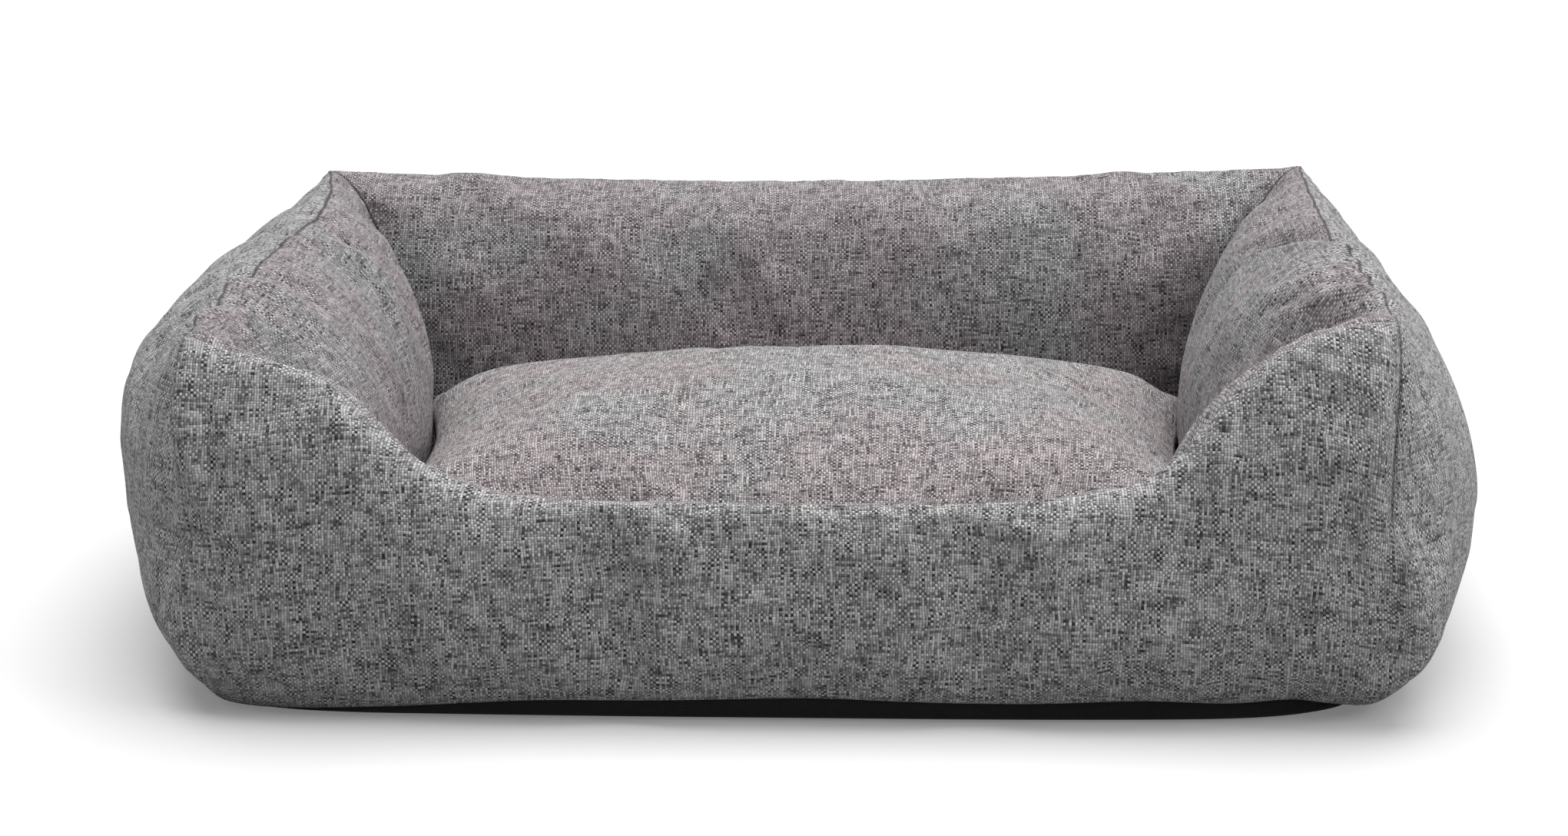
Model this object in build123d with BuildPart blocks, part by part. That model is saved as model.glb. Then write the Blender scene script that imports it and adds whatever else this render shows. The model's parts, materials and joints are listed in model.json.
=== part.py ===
"""A dog sofa bed: stuffed walls sewn round a padded floor, a low entry in front and a loose cushion inside.

The origin is on the floor, under the middle of the bed. +X is to the right, +Y is towards the back, +Z is up.
"""

from build123d import *

import os
from math import cos, radians, sin, sqrt

# Driving sizes of the walls, in millimetres. The ridge is the seam along the top of a wall.
ridge_half_width = 291.0
ridge_half_depth = 227.0
ridge_height = 196.0
side_sag = 3.0
back_sag = 9.0
entry_height = 112.0
entry_shoulder = 107.0
corner_post = 46.0
shoulder_drop = 7.0

# How far a wall stands out of its ridge line and reaches in from it, at its fullest and at its foot
side_belly_out = 59.0
side_belly_in = 79.0
side_foot_out = 5.0
side_foot_in = 66.0
front_belly_out = 30.0
front_belly_in = 55.0
front_foot_out = 12.0
front_foot_in = 46.0
back_belly_out = 30.0
back_belly_in = 60.0
back_foot_out = 12.0
back_foot_in = 48.0

# The same four sizes on the seam at each corner, where two walls meet at 45 degrees
front_corner_belly_out = 26.0
back_corner_belly_out = 14.0
corner_belly_in = 47.0
corner_foot_out = -14.0
corner_foot_in = 38.0

# Height of the fullest line, as a share of the wall's height there
side_out_height_share = 0.56
end_out_height_share = 0.42
corner_out_height_share = 0.46
in_height_share = 0.50
underside_out_share = 0.66
underside_height_share = 0.32

# How square the rounding above the fullest line is, from 1 for a slant to 3 for a box
side_fullness_out = 1.6
side_fullness_in = 1.85
front_fullness_out = 2.6
front_fullness_in = 2.0
back_fullness_out = 2.2
back_fullness_in = 2.6
corner_fullness = 1.9
swell = 2.6
quarter_angles = (22.5, 45.0, 67.5)
side_station_shares = (-0.68, -0.5, -0.26, 0.0, 0.26, 0.5, 0.68)
back_station_shares = (-0.74, -0.6, -0.4, -0.2, 0.0, 0.2, 0.4, 0.6, 0.74)
shoulder_station_shares = (0.0, 0.15, 0.3, 0.45, 0.6, 0.75, 0.9)

# Fabrics, and the clearances between sewn and stuffed pieces
fabric = 1.5
lining = 1.2
base_fabric = 1.5
stuffing_gap = 0.4
seat_gap = 0.3
floor_gap = 1.5

# The base under the walls
base_depth = 10.0
base_edge_radius = 8.0
base_corner_radius = 30.0

# The loose cushion. Below the seam each slice has its height and its outline as shares of the cushion's.
cushion_side_gap = 4.0
cushion_end_gap = 6.0
cushion_height = 119.0
cushion_draw = 4.0
underside_slice_shares = ((0.0, 0.80), (0.05, 0.89), (0.13, 0.95), (0.22, 0.985))
cushion_seam_share = 0.34
corner_share = 0.285
top_corner_share = 0.95
crown_angles = (0.0, 15.0, 29.0, 42.0, 54.0, 64.0, 73.0, 81.0)
crown_fullness = 2.7

# The zip on a slanted flat along the cushion's lower back edge
zip_slant = 45.0
zip_edge_shares = (0.93, 0.10)
zip_flat_depth = 8.5
zip_end_inset = 58.0
zip_band = 25.0
tape_thickness = 0.6
tape_end = 6.0
chain_thickness = 1.8
chain_width = 1.7
chain_gap = 1.4
chain_rounding = 0.3
stop_length = 2.4
stop_play = 0.5

# The slider on the zip and its pull tab
slider_length = 9.0
slider_width = 8.4
slider_plate = 1.0
slider_corner = 1.6
slider_play = 0.2
slider_side_play = 0.6
slider_neck = 2.6
flange_width = 1.2
arch_radius = 1.9
arch_width = 2.0
pin_radius = 0.7
pin_play = 0.1
pin_height = 1.3
pull_length = 16.0
pull_width = 6.4
pull_thickness = 1.0
pull_corner = 1.5
pull_eye_play = 0.4
pull_hole_radius = 1.1
pull_hole_inset = 3.2
cut_overrun = 5.0

# Sizes that follow from those above
entry_half_width = ridge_half_width - corner_post - entry_shoulder
cushion_half_width = ridge_half_width - side_belly_in - cushion_side_gap
cushion_half_depth = ridge_half_depth - back_belly_in - cushion_end_gap
zip_length = 2 * (cushion_half_width - zip_end_inset)
cushion_bottom = base_depth + lining + seat_gap
seam_height = cushion_bottom + cushion_seam_share * cushion_height
seam_plane = Plane.XY.offset(seam_height)

# Cross-section sizes on the corner seams
FRONT_CORNER = dict(
    belly_out=front_corner_belly_out,
    belly_in=corner_belly_in,
    foot_out=corner_foot_out,
    foot_in=corner_foot_in,
    height_share_out=corner_out_height_share,
    height_share_in=in_height_share,
    fullness_out=corner_fullness,
    fullness_in=corner_fullness,
)
BACK_CORNER = FRONT_CORNER | dict(belly_out=back_corner_belly_out)

# The four walls. Each runs along its ridge line from one corner seam to the other.
SIDE_WALL = dict(
    along=Vector(0, 1, 0),
    ends=(FRONT_CORNER, BACK_CORNER),
    reach=ridge_half_width,
    run=ridge_half_depth,
    sag=side_sag,
    belly_out=side_belly_out,
    belly_in=side_belly_in,
    foot_out=side_foot_out,
    foot_in=side_foot_in,
    height_share_out=side_out_height_share,
    height_share_in=in_height_share,
    fullness_out=side_fullness_out,
    fullness_in=side_fullness_in,
    stations=[share * ridge_half_depth for share in side_station_shares],
)
WALLS = {
    "left": SIDE_WALL | dict(outward=Vector(-1, 0, 0)),
    "right": SIDE_WALL | dict(outward=Vector(1, 0, 0)),
    "back": dict(
        outward=Vector(0, 1, 0),
        along=Vector(1, 0, 0),
        ends=(BACK_CORNER, BACK_CORNER),
        reach=ridge_half_depth,
        run=ridge_half_width,
        sag=back_sag,
        belly_out=back_belly_out,
        belly_in=back_belly_in,
        foot_out=back_foot_out,
        foot_in=back_foot_in,
        height_share_out=end_out_height_share,
        height_share_in=in_height_share,
        fullness_out=back_fullness_out,
        fullness_in=back_fullness_in,
        stations=[share * ridge_half_width for share in back_station_shares],
    ),
    "front": dict(
        outward=Vector(0, -1, 0),
        along=Vector(1, 0, 0),
        ends=(FRONT_CORNER, FRONT_CORNER),
        reach=ridge_half_depth,
        run=ridge_half_width,
        belly_out=front_belly_out,
        belly_in=front_belly_in,
        foot_out=front_foot_out,
        foot_in=front_foot_in,
        height_share_out=end_out_height_share,
        height_share_in=in_height_share,
        fullness_out=front_fullness_out,
        fullness_in=front_fullness_in,
        stations=[-entry_half_width - share * entry_shoulder for share in reversed(shoulder_station_shares)]
        + [0]
        + [entry_half_width + share * entry_shoulder for share in shoulder_station_shares],
    ),
}

os.makedirs("parts", exist_ok=True)


def save(part, name):
    """Labels a finished piece and writes its file."""
    part.label = name
    export_step(part, f"parts/{name}.step")


def crest_height(wall, place):
    """Height of the ridge at a place along a wall. The front wall dips at the entry between S-shaped shoulders."""
    if "sag" in wall:
        return ridge_height - wall["sag"] * (1 - (place / wall["run"]) ** 2)
    past_entry = max(abs(place) - entry_half_width, 0)
    share = min(past_entry / entry_shoulder, 1)
    tip_share = max(past_entry - entry_shoulder, 0) / (wall["run"] - entry_half_width - entry_shoulder)
    shoulder_rise = ridge_height - shoulder_drop - entry_height
    return entry_height + shoulder_rise * share**2 * (3 - 2 * share) + shoulder_drop * tip_share


def section_size(wall, place, name):
    """A size of a wall's cross-section, which swells from the corner seams to the middle of the wall."""
    first, last = (end[name] for end in wall["ends"])
    between_corners = first + (last - first) * (1 + place / wall["run"]) / 2
    swelling = 1 - (abs(place) / wall["run"]) ** swell
    return between_corners + swelling * (wall[name] - between_corners)


def half_profile(wall, place, side, inset):
    """Seven points of one side of a cross-section, from its foot to its crest, as (distance out, height)."""
    belly = section_size(wall, place, f"belly_{side}") - inset
    foot = section_size(wall, place, f"foot_{side}") - inset
    full_crest = crest_height(wall, place)
    height_share = section_size(wall, place, f"height_share_{side}")
    belly_height = base_depth + height_share * (full_crest - base_depth)
    crest = full_crest - inset
    power = 2 / section_size(wall, place, f"fullness_{side}")
    points = [
        (foot, base_depth),
        (
            foot + underside_out_share * (belly - foot),
            base_depth + underside_height_share * (belly_height - base_depth),
        ),
        (belly, belly_height),
    ]
    for angle in map(radians, quarter_angles):
        rise = (crest - belly_height) * sin(angle) ** power
        points.append((belly * cos(angle) ** power, belly_height + rise))
    points.append((0, crest))
    sign = 1 if side == "out" else -1
    stretch = sqrt(2) if abs(place) == wall["run"] else 1
    return [(sign * stretch * out, height) for out, height in points]


def arcs_through(points):
    """Three arcs through the seven points of a half profile."""
    for start in range(0, len(points) - 1, 2):
        ThreePointArc(*points[start : start + 3])


def section_plane(wall, place):
    """Upright plane square across a wall, or along the corner seam at either end of it."""
    corner = round(place / wall["run"]) if abs(place) == wall["run"] else 0
    outward = wall["outward"] + corner * wall["along"]
    origin = wall["outward"] * wall["reach"] + wall["along"] * place
    return Plane(origin=origin, x_dir=outward, z_dir=outward.cross(Vector(0, 0, 1)))


def section_places(wall):
    """Places of all cross-sections of a wall, from one corner seam to the other."""
    return [-wall["run"]] + wall["stations"] + [wall["run"]]


def wall_panel(wall, side):
    """One sewn panel of fabric, from a wall's foot up to its ridge seam."""
    with BuildPart() as panel:
        for place in section_places(wall):
            face_side = half_profile(wall, place, side, 0)
            stuffing_side = half_profile(wall, place, side, fabric)
            with BuildSketch(section_plane(wall, place)):
                with BuildLine():
                    arcs_through(face_side)
                    Line(face_side[-1], stuffing_side[-1])
                    arcs_through(stuffing_side)
                    Line(stuffing_side[0], face_side[0])
                make_face()
        loft(ruled=True)
    return panel.part


def wall_filling(wall):
    """The fibre filling inside one wall."""
    inset = fabric + stuffing_gap
    with BuildPart() as filling:
        for place in section_places(wall):
            outer = half_profile(wall, place, "out", inset)
            inner = half_profile(wall, place, "in", inset)
            with BuildSketch(section_plane(wall, place)):
                with BuildLine():
                    arcs_through(outer)
                    arcs_through(inner)
                    Line(inner[0], outer[0])
                make_face()
        loft(ruled=True)
    return filling.part


# The walls: an outer panel, an inner panel and a filling each
for wall_name, wall in WALLS.items():
    save(wall_panel(wall, "out"), f"{wall_name}_outer_panel")
    save(wall_panel(wall, "in"), f"{wall_name}_inner_panel")
    save(wall_filling(wall), f"{wall_name}_filling")


def inner_foot_line(inset):
    """Points of the inner foot of the walls, seen from above, all the way round."""
    points = []
    for name, direction in (("front", 1), ("right", 1), ("back", -1), ("left", -1)):
        for place in section_places(WALLS[name])[::direction][:-1]:
            foot = half_profile(WALLS[name], place, "in", inset)[0]
            corner = section_plane(WALLS[name], place).from_local_coords(foot)
            points.append((corner.X, corner.Y))
    return points


def bowed_outline(corner_x, corner_y, middle_x, front_y, back_y):
    """A rectangle whose four sides bow out or in, drawn through its corners and the middles of its sides."""
    corners = [(-corner_x, -corner_y), (corner_x, -corner_y), (corner_x, corner_y), (-corner_x, corner_y)]
    middles = [(0, -front_y), (middle_x, 0), (0, back_y), (-middle_x, 0)]
    for index, middle in enumerate(middles):
        ThreePointArc(corners[index], middle, corners[(index + 1) % len(corners)])


def base_block(inset, bottom):
    """The base with its rounded lower edge, drawn in by an inset, from a height up to the feet of the walls."""
    with BuildPart() as block:
        with BuildSketch(Plane.XY.offset(bottom)) as outline:
            with BuildLine():
                bowed_outline(
                    ridge_half_width + corner_foot_out - inset,
                    ridge_half_depth + corner_foot_out - inset,
                    ridge_half_width + side_foot_out - inset,
                    ridge_half_depth + front_foot_out - inset,
                    ridge_half_depth + back_foot_out - inset,
                )
            make_face()
            fillet(outline.vertices(), radius=base_corner_radius - inset)
        extrude(amount=base_depth - bottom)
        fillet(block.faces().sort_by(Axis.Z)[0].edges(), radius=base_edge_radius - inset)
    return block.part


# The base: a pan of black non-slip fabric, the wadding in it and the lining that covers it inside the walls
with BuildPart() as base_panel:
    add(base_block(0, 0))
    add(base_block(base_fabric, base_fabric), mode=Mode.SUBTRACT)
save(base_panel.part, "base_panel")

save(base_block(base_fabric + stuffing_gap, base_fabric), "base_pad")

with BuildPart() as floor_panel:
    with BuildSketch(Plane.XY.offset(base_depth)):
        with BuildLine():
            Polyline(*inner_foot_line(-floor_gap), close=True)
        make_face()
    extrude(amount=lining)
save(floor_panel.part, "floor_panel")

# The zip's own plane: its origin is in the middle of the flat, its x runs along the zip and its y up the slope
zip_along = Vector(-1, 0, 0)
zip_outward = Vector(0, cos(radians(zip_slant)), -sin(radians(zip_slant)))
zip_edge = Vector(
    0,
    zip_edge_shares[0] * cushion_half_depth,
    cushion_bottom + zip_edge_shares[1] * cushion_height,
)
zip_origin = zip_edge - zip_outward * zip_flat_depth
chain_half_width = chain_gap / 2 + chain_width
chain_length = zip_length - 2 * stop_length
chain_back = (tape_thickness - chain_thickness) / 2
chain_face = chain_back + chain_thickness
slider_back = chain_back - slider_play - slider_plate
slider_face = chain_face + slider_play + slider_plate
slider_place = (chain_length - slider_length) / 2 - stop_play
flange_place = (slider_width - flange_width) / 2


def zip_plane(place, lift):
    """The zip's plane moved along the zip and out of the flat."""
    origin = zip_origin + zip_along * place + zip_outward * lift
    return Plane(origin=origin, x_dir=zip_along, z_dir=zip_outward)


def across_zip(place, lift):
    """Plane through a place on the zip's middle line, whose x runs along the zip and whose y stands out of it."""
    origin = zip_origin + zip_along * place + zip_outward * lift
    return Plane(origin=origin, x_dir=zip_along, z_dir=zip_along.cross(zip_outward))


def cushion_slices():
    """Level slices from the bottom to the crown, as shares of the height, the outline and the corners."""
    slices = [(height, outline, corner_share) for height, outline in underside_slice_shares]
    power = 2 / crown_fullness
    for angle in map(radians, crown_angles):
        height = cushion_seam_share + (1 - cushion_seam_share) * sin(angle) ** power
        corner = corner_share + (top_corner_share - corner_share) * sin(angle) ** 2
        slices.append((height, cos(angle) ** power, corner))
    return slices


def cushion_form(inset, flat_inset):
    """The crowned cushion drawn in by an inset, lofted through its level slices and cut flat behind the zip."""
    with BuildPart() as form:
        for height_share, outline_share, rounding_share in cushion_slices():
            height = cushion_bottom + inset + height_share * (cushion_height - 2 * inset)
            corner_x = outline_share * cushion_half_width - inset
            corner_y = outline_share * cushion_half_depth - inset
            draw = outline_share * cushion_draw
            with BuildSketch(Plane.XY.offset(height)) as outline:
                with BuildLine():
                    bowed_outline(corner_x, corner_y, corner_x - draw, corner_y - draw, corner_y - draw)
                make_face()
                fillet(outline.vertices(), radius=rounding_share * corner_y)
        loft(ruled=True)
        split(bisect_by=zip_plane(0, -flat_inset), keep=Keep.BOTTOM)
    return form.part


# The cushion's cover: a crowned top panel and a bottom panel with a slot for the zip, sewn together at the seam
with BuildPart() as cushion_top_panel:
    add(cushion_form(0, 0))
    add(cushion_form(fabric, fabric), mode=Mode.SUBTRACT)
    split(bisect_by=seam_plane, keep=Keep.TOP)
save(cushion_top_panel.part, "cushion_top_panel")

with BuildPart() as cushion_bottom_panel:
    add(cushion_form(0, 0))
    add(cushion_form(fabric, fabric), mode=Mode.SUBTRACT)
    split(bisect_by=seam_plane, keep=Keep.BOTTOM)
    with BuildSketch(zip_plane(0, cut_overrun)):
        Rectangle(zip_length, slider_width + 2 * slider_side_play)
    extrude(amount=-cut_overrun - fabric - stuffing_gap, mode=Mode.SUBTRACT)
save(cushion_bottom_panel.part, "cushion_bottom_panel")

save(cushion_form(fabric + stuffing_gap, stuffing_gap - slider_back), "cushion_filling")


def zip_tape(side):
    """One woven tape of the zip, above (1) or below (-1) the chain."""
    width = zip_band / 2 - chain_half_width
    with BuildPart() as tape:
        with BuildSketch(zip_plane(0, 0)):
            with Locations((0, side * (chain_half_width + width / 2))):
                Rectangle(zip_length + 2 * tape_end, width)
        extrude(amount=tape_thickness)
    return tape.part


def zip_coil(side):
    """One row of the chain, as a bar along the inner edge of its tape."""
    with BuildPart() as coil:
        with BuildSketch(zip_plane(0, chain_back)):
            with Locations((0, side * (chain_half_width - chain_width / 2))):
                Rectangle(chain_length, chain_width)
        extrude(amount=chain_thickness)
        fillet(coil.edges().filter_by(Axis.X), radius=chain_rounding)
    return coil.part


for row_name, row_side in (("upper", 1), ("lower", -1)):
    save(zip_tape(row_side), f"zip_tape_{row_name}")
    save(zip_coil(row_side), f"zip_coil_{row_name}")

# The stops that close both ends of the chain
with BuildPart() as zip_end_stops:
    with BuildSketch(zip_plane(0, chain_back)):
        with Locations(((chain_length + stop_length) / 2, 0), (-(chain_length + stop_length) / 2, 0)):
            Rectangle(stop_length, 2 * chain_half_width)
    extrude(amount=chain_thickness)
save(zip_end_stops.part, "zip_end_stops")

# The slider: two plates joined by a neck between the coils, with flanges at the tapes and an arch for the pin
with BuildPart() as zip_slider:
    for plate_lift in (slider_back, slider_face - slider_plate):
        with BuildSketch(zip_plane(slider_place, plate_lift)):
            RectangleRounded(slider_length, slider_width, slider_corner)
        extrude(amount=slider_plate)
    with BuildSketch(zip_plane(slider_place, slider_back)):
        with Locations(((slider_length - slider_neck) / 2 - slider_corner, 0)):
            Rectangle(slider_neck, chain_gap - 2 * slider_play)
    extrude(amount=slider_face - slider_back)
    for flange_start, flange_end in ((slider_back, -slider_play), (slider_face, tape_thickness + slider_play)):
        with BuildSketch(zip_plane(slider_place, flange_start)):
            with Locations((0, flange_place), (0, -flange_place)):
                Rectangle(slider_length - 2 * slider_corner, flange_width)
        extrude(amount=flange_end - flange_start)
    with BuildSketch(across_zip(slider_place, slider_face)):
        with Locations((0, pin_height)):
            Circle(arch_radius)
            Rectangle(2 * arch_radius, pin_height, align=(Align.CENTER, Align.MAX))
            Circle(pin_radius + pin_play, mode=Mode.SUBTRACT)
    extrude(amount=arch_width / 2, both=True)
save(zip_slider.part, "zip_slider")

# The pull tab: a flat tab that hangs from a pin in the slider's arch
pin_middle = across_zip(slider_place, slider_face + pin_height)
with BuildPart() as zip_pull:
    with BuildSketch(Plane(origin=pin_middle.origin, x_dir=zip_outward, z_dir=-zip_along)) as tab:
        Rectangle(pull_length, pull_width, align=(Align.MIN, Align.CENTER))
        fillet(tab.vertices().group_by(Axis.X)[-1], radius=pull_corner)
        Rectangle(
            2 * (arch_radius + pull_eye_play),
            arch_width + 2 * pull_eye_play,
            mode=Mode.SUBTRACT,
        )
        with Locations((pull_length - pull_hole_inset, 0)):
            Circle(pull_hole_radius, mode=Mode.SUBTRACT)
    extrude(amount=pull_thickness / 2, both=True)
    with BuildSketch(pin_middle):
        Circle(pin_radius)
    extrude(amount=pull_width / 2, both=True)
save(zip_pull.part, "zip_pull")
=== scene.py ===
import functools
import json
import math

import bmesh
import bpy
import numpy as np
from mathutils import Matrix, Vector


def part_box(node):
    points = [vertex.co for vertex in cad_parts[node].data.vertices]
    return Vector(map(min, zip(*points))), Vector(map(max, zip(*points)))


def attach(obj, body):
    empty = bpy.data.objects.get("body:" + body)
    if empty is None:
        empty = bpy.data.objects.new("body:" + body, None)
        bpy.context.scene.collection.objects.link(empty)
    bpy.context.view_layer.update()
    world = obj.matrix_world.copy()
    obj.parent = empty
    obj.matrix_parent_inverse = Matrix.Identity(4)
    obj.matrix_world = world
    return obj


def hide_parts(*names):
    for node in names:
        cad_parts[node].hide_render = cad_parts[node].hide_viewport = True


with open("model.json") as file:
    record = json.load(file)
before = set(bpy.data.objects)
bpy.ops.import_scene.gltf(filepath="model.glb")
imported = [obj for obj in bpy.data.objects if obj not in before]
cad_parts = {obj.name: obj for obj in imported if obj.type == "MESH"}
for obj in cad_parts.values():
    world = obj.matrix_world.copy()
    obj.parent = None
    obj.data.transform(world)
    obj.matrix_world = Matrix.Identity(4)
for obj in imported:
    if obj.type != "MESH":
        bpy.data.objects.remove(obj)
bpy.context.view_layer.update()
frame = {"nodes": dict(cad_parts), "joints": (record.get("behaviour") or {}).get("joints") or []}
nodes = frame["nodes"]
print("frame loaded,", len(nodes), "nodes")

# Places that the frame gives. Everything is in metres.
ridgeHalfWidth = -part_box("left_inner_panel")[0].x
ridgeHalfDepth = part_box("back_inner_panel")[1].y
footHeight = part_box("left_outer_panel")[0].z
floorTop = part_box("floor_panel")[1].z


# Helpers for meshes

def linkObject(name, data):
    piece = bpy.data.objects.new(name, data)
    bpy.context.scene.collection.objects.link(piece)
    return piece


def plainObject(name, points, faces, edges=(), smooth=False):
    mesh = bpy.data.meshes.new(name)
    vertices = np.array(points, dtype=float).reshape(-1, 3).tolist()
    mesh.from_pydata(vertices, list(edges), [tuple(face) for face in faces], shade_flat=not smooth)
    return linkObject(name, mesh)


def gridIndex(grid):
    return np.arange(grid.shape[0] * grid.shape[1]).reshape(grid.shape[:2])


def gridObject(name, points, uvs, seams=None, wrapColumns=False):
    # points is an array of columns by rows by 3, and seams gives each point's lengths to the nearest seams
    index = gridIndex(points)
    following = np.roll(index, -1, axis=0) if wrapColumns else index[1:]
    here = index if wrapColumns else index[:-1]
    faces = np.stack([here[:, :-1], following[:, :-1], following[:, 1:], here[:, 1:]], axis=-1)
    piece = plainObject(name, points, faces.reshape(-1, 4).tolist(), smooth=True)
    corner = np.zeros(len(piece.data.loops), dtype=np.int32)
    piece.data.loops.foreach_get("vertex_index", corner)
    for label, values in (("cloth", uvs), ("seams", np.ones_like(uvs) if seams is None else seams)):
        layer = piece.data.uv_layers.new(name=label)
        layer.data.foreach_set("uv", values.reshape(-1, 2)[corner].astype(np.float32).ravel())
    return piece


def gridNormals(points, closed=True):
    along = np.roll(points, -1, axis=0) - np.roll(points, 1, axis=0) if closed else np.gradient(points, axis=0)
    normal = np.cross(along, np.gradient(points, axis=1))
    return normal / np.linalg.norm(normal, axis=2, keepdims=True).clip(1e-9)


def smoothAlong(field, axis, times):
    for _ in range(times):
        field = (np.roll(field, 1, axis=axis) + 2 * field + np.roll(field, -1, axis=axis)) / 4
    return field


def linePlaces(*parts):
    # length from the start of a line to each of its points, from their coordinates
    return np.concatenate([[0], np.cumsum(np.linalg.norm(np.diff(parts), axis=0))])


def meshPoints(mesh):
    flat = np.zeros(len(mesh.vertices) * 3, dtype=np.float32)
    mesh.vertices.foreach_get("co", flat)
    return flat.reshape(-1, 3).astype(float)


def evaluatedMesh(piece):
    graph = bpy.context.evaluated_depsgraph_get()
    return bpy.data.meshes.new_from_object(piece.evaluated_get(graph), depsgraph=graph)


def addThickness(piece, thickness, levels=1):
    if levels:
        smoother = piece.modifiers.new("smooth", "SUBSURF")
        smoother.levels = smoother.render_levels = levels
        smoother.boundary_smooth = "PRESERVE_CORNERS"
    wall = piece.modifiers.new("cloth thickness", "SOLIDIFY")
    wall.thickness = thickness
    wall.offset = -1
    wall.use_even_offset = False
    return piece


def declarePiece(piece, body, slot, *replaced):
    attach(piece, body)
    if replaced:
        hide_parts(*replaced)
    return piece


def finishPiece(piece, material, body, slot, *replaced):
    piece.data.materials.clear()
    piece.data.materials.append(material)
    return declarePiece(piece, body, slot, *replaced)


noiseForm = {"waves": 7, "sizes": (0.7, 1.6), "spread": 3.2}


def smoothNoise(points, size, seed):
    # cheap seeded noise from a few slanted waves, about -1 to 1
    random = np.random.default_rng(seed)
    total = np.zeros(points.shape[:-1])
    for wave in range(noiseForm["waves"]):
        direction = random.normal(size=3)
        direction /= np.linalg.norm(direction)
        step = 2 * math.pi / (size * random.uniform(*noiseForm["sizes"]))
        total += np.sin(points @ direction * step + random.uniform(0, 2 * math.pi))
    return total / noiseForm["spread"]


def flatNoise(plan, size, seed):
    return smoothNoise(np.column_stack([plan, plan[:, 0] * 0]), size, seed)


# Helpers for node trees

def addNode(tree, kind, **settings):
    node = tree.nodes.new(kind)
    inputs = settings.pop("inputs", {})
    for name, value in settings.items():
        setattr(node, name, value)
    for socket, value in inputs.items():
        if isinstance(value, bpy.types.NodeSocket):
            tree.links.new(value, node.inputs[socket])
        else:
            node.inputs[socket].default_value = value
    return node


def mathNode(tree, operation, *values, clamp=False):
    return addNode(tree, "ShaderNodeMath", operation=operation, use_clamp=clamp,
                   inputs=dict(enumerate(values))).outputs[0]


def vectorNode(tree, operation, *values, **named):
    return addNode(tree, "ShaderNodeVectorMath", operation=operation,
                   inputs={**dict(enumerate(values)), **named}).outputs[0]


def joinNode(tree, *parts):
    return addNode(tree, "ShaderNodeCombineXYZ", inputs=dict(enumerate(parts))).outputs[0]


def noiseNode(tree, place, scale, detail, roughness=0.5, flat=False, output="Fac"):
    return addNode(tree, "ShaderNodeTexNoise", noise_dimensions="2D" if flat else "3D", inputs={
        "Vector": place, "Scale": scale, "Detail": detail, "Roughness": roughness}).outputs[output]


def smoothStep(tree, value, low, high, first=0.0, last=1.0):
    return addNode(tree, "ShaderNodeMapRange", interpolation_type="SMOOTHSTEP", inputs={
        "Value": value, "From Min": low, "From Max": high, "To Min": first, "To Max": last}).outputs[0]


def mixNumber(tree, factor, first, second):
    return addNode(tree, "ShaderNodeMix", inputs={0: factor, 2: first, 3: second}).outputs[0]


def mixColour(tree, factor, first, second, blend="MIX"):
    return addNode(tree, "ShaderNodeMix", data_type="RGBA", blend_type=blend,
                   inputs={0: factor, 6: first, 7: second}).outputs[2]


def newGroup(name, kind, inputs, outputs):
    # an input is given by its default value, or by its type where it has none
    tree = bpy.data.node_groups.new(name, kind)
    types = {float: "Float", int: "Int", tuple: "Color"}
    for label, value in inputs.items():
        named = isinstance(value, str)
        socket = tree.interface.new_socket(
            label, in_out="INPUT", socket_type="NodeSocket" + (value if named else types[type(value)]))
        if not named:
            socket.default_value = value
    for label, socketType in outputs.items():
        tree.interface.new_socket(label, in_out="OUTPUT", socket_type="NodeSocket" + socketType)
    return tree, tree.nodes.new("NodeGroupInput").outputs, tree.nodes.new("NodeGroupOutput").inputs


def groupNode(tree, group, look, **given):
    # a look holds values for the group's inputs under their names
    wanted = {item.name for item in group.interface.items_tree if item.in_out == "INPUT"}
    values = {name: value for name, value in look.items() if name in wanted}
    return addNode(tree, "ShaderNodeGroup", node_tree=group, inputs={**values, **given}).outputs


# Plain weave in coordinates of the cloth: the yarn on top of each cell gives its tone and height, and painted shade
# darkens the gaps between the yarns

yarns = {
    "wobbleScale": 70.0, "wobble": 1.9, "apart": 7.31, "warpSeed": 3.0, "weftSeed": 11.0, "toneSpread": 2.4,
    "grainSpread": 0.15, "cloudScale": 55.0, "cloudStretch": 9.0, "toneRange": (-0.25, 1.25),
    "gapDepth": 0.55, "fibreScale": 2600.0, "fibreRelief": 0.35, "toneNoise": (2.0, 0.6), "cloudNoise": (3.0, 0.65),
}
# what the other groups and the plain stuffs share
grains = {
    "patchNoise": (4.0, 0.55), "patchSpread": 4.0, "tintRange": (0.36, 0.56), "lineEdge": (0.3, 1.0),
    "clothPatch": 0.05, "noise": (4.0, 0.6), "patchSizes": 6, "patchAmount": 0.25, "sheenSpread": 0.3, "bump": 0.5,
}


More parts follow.
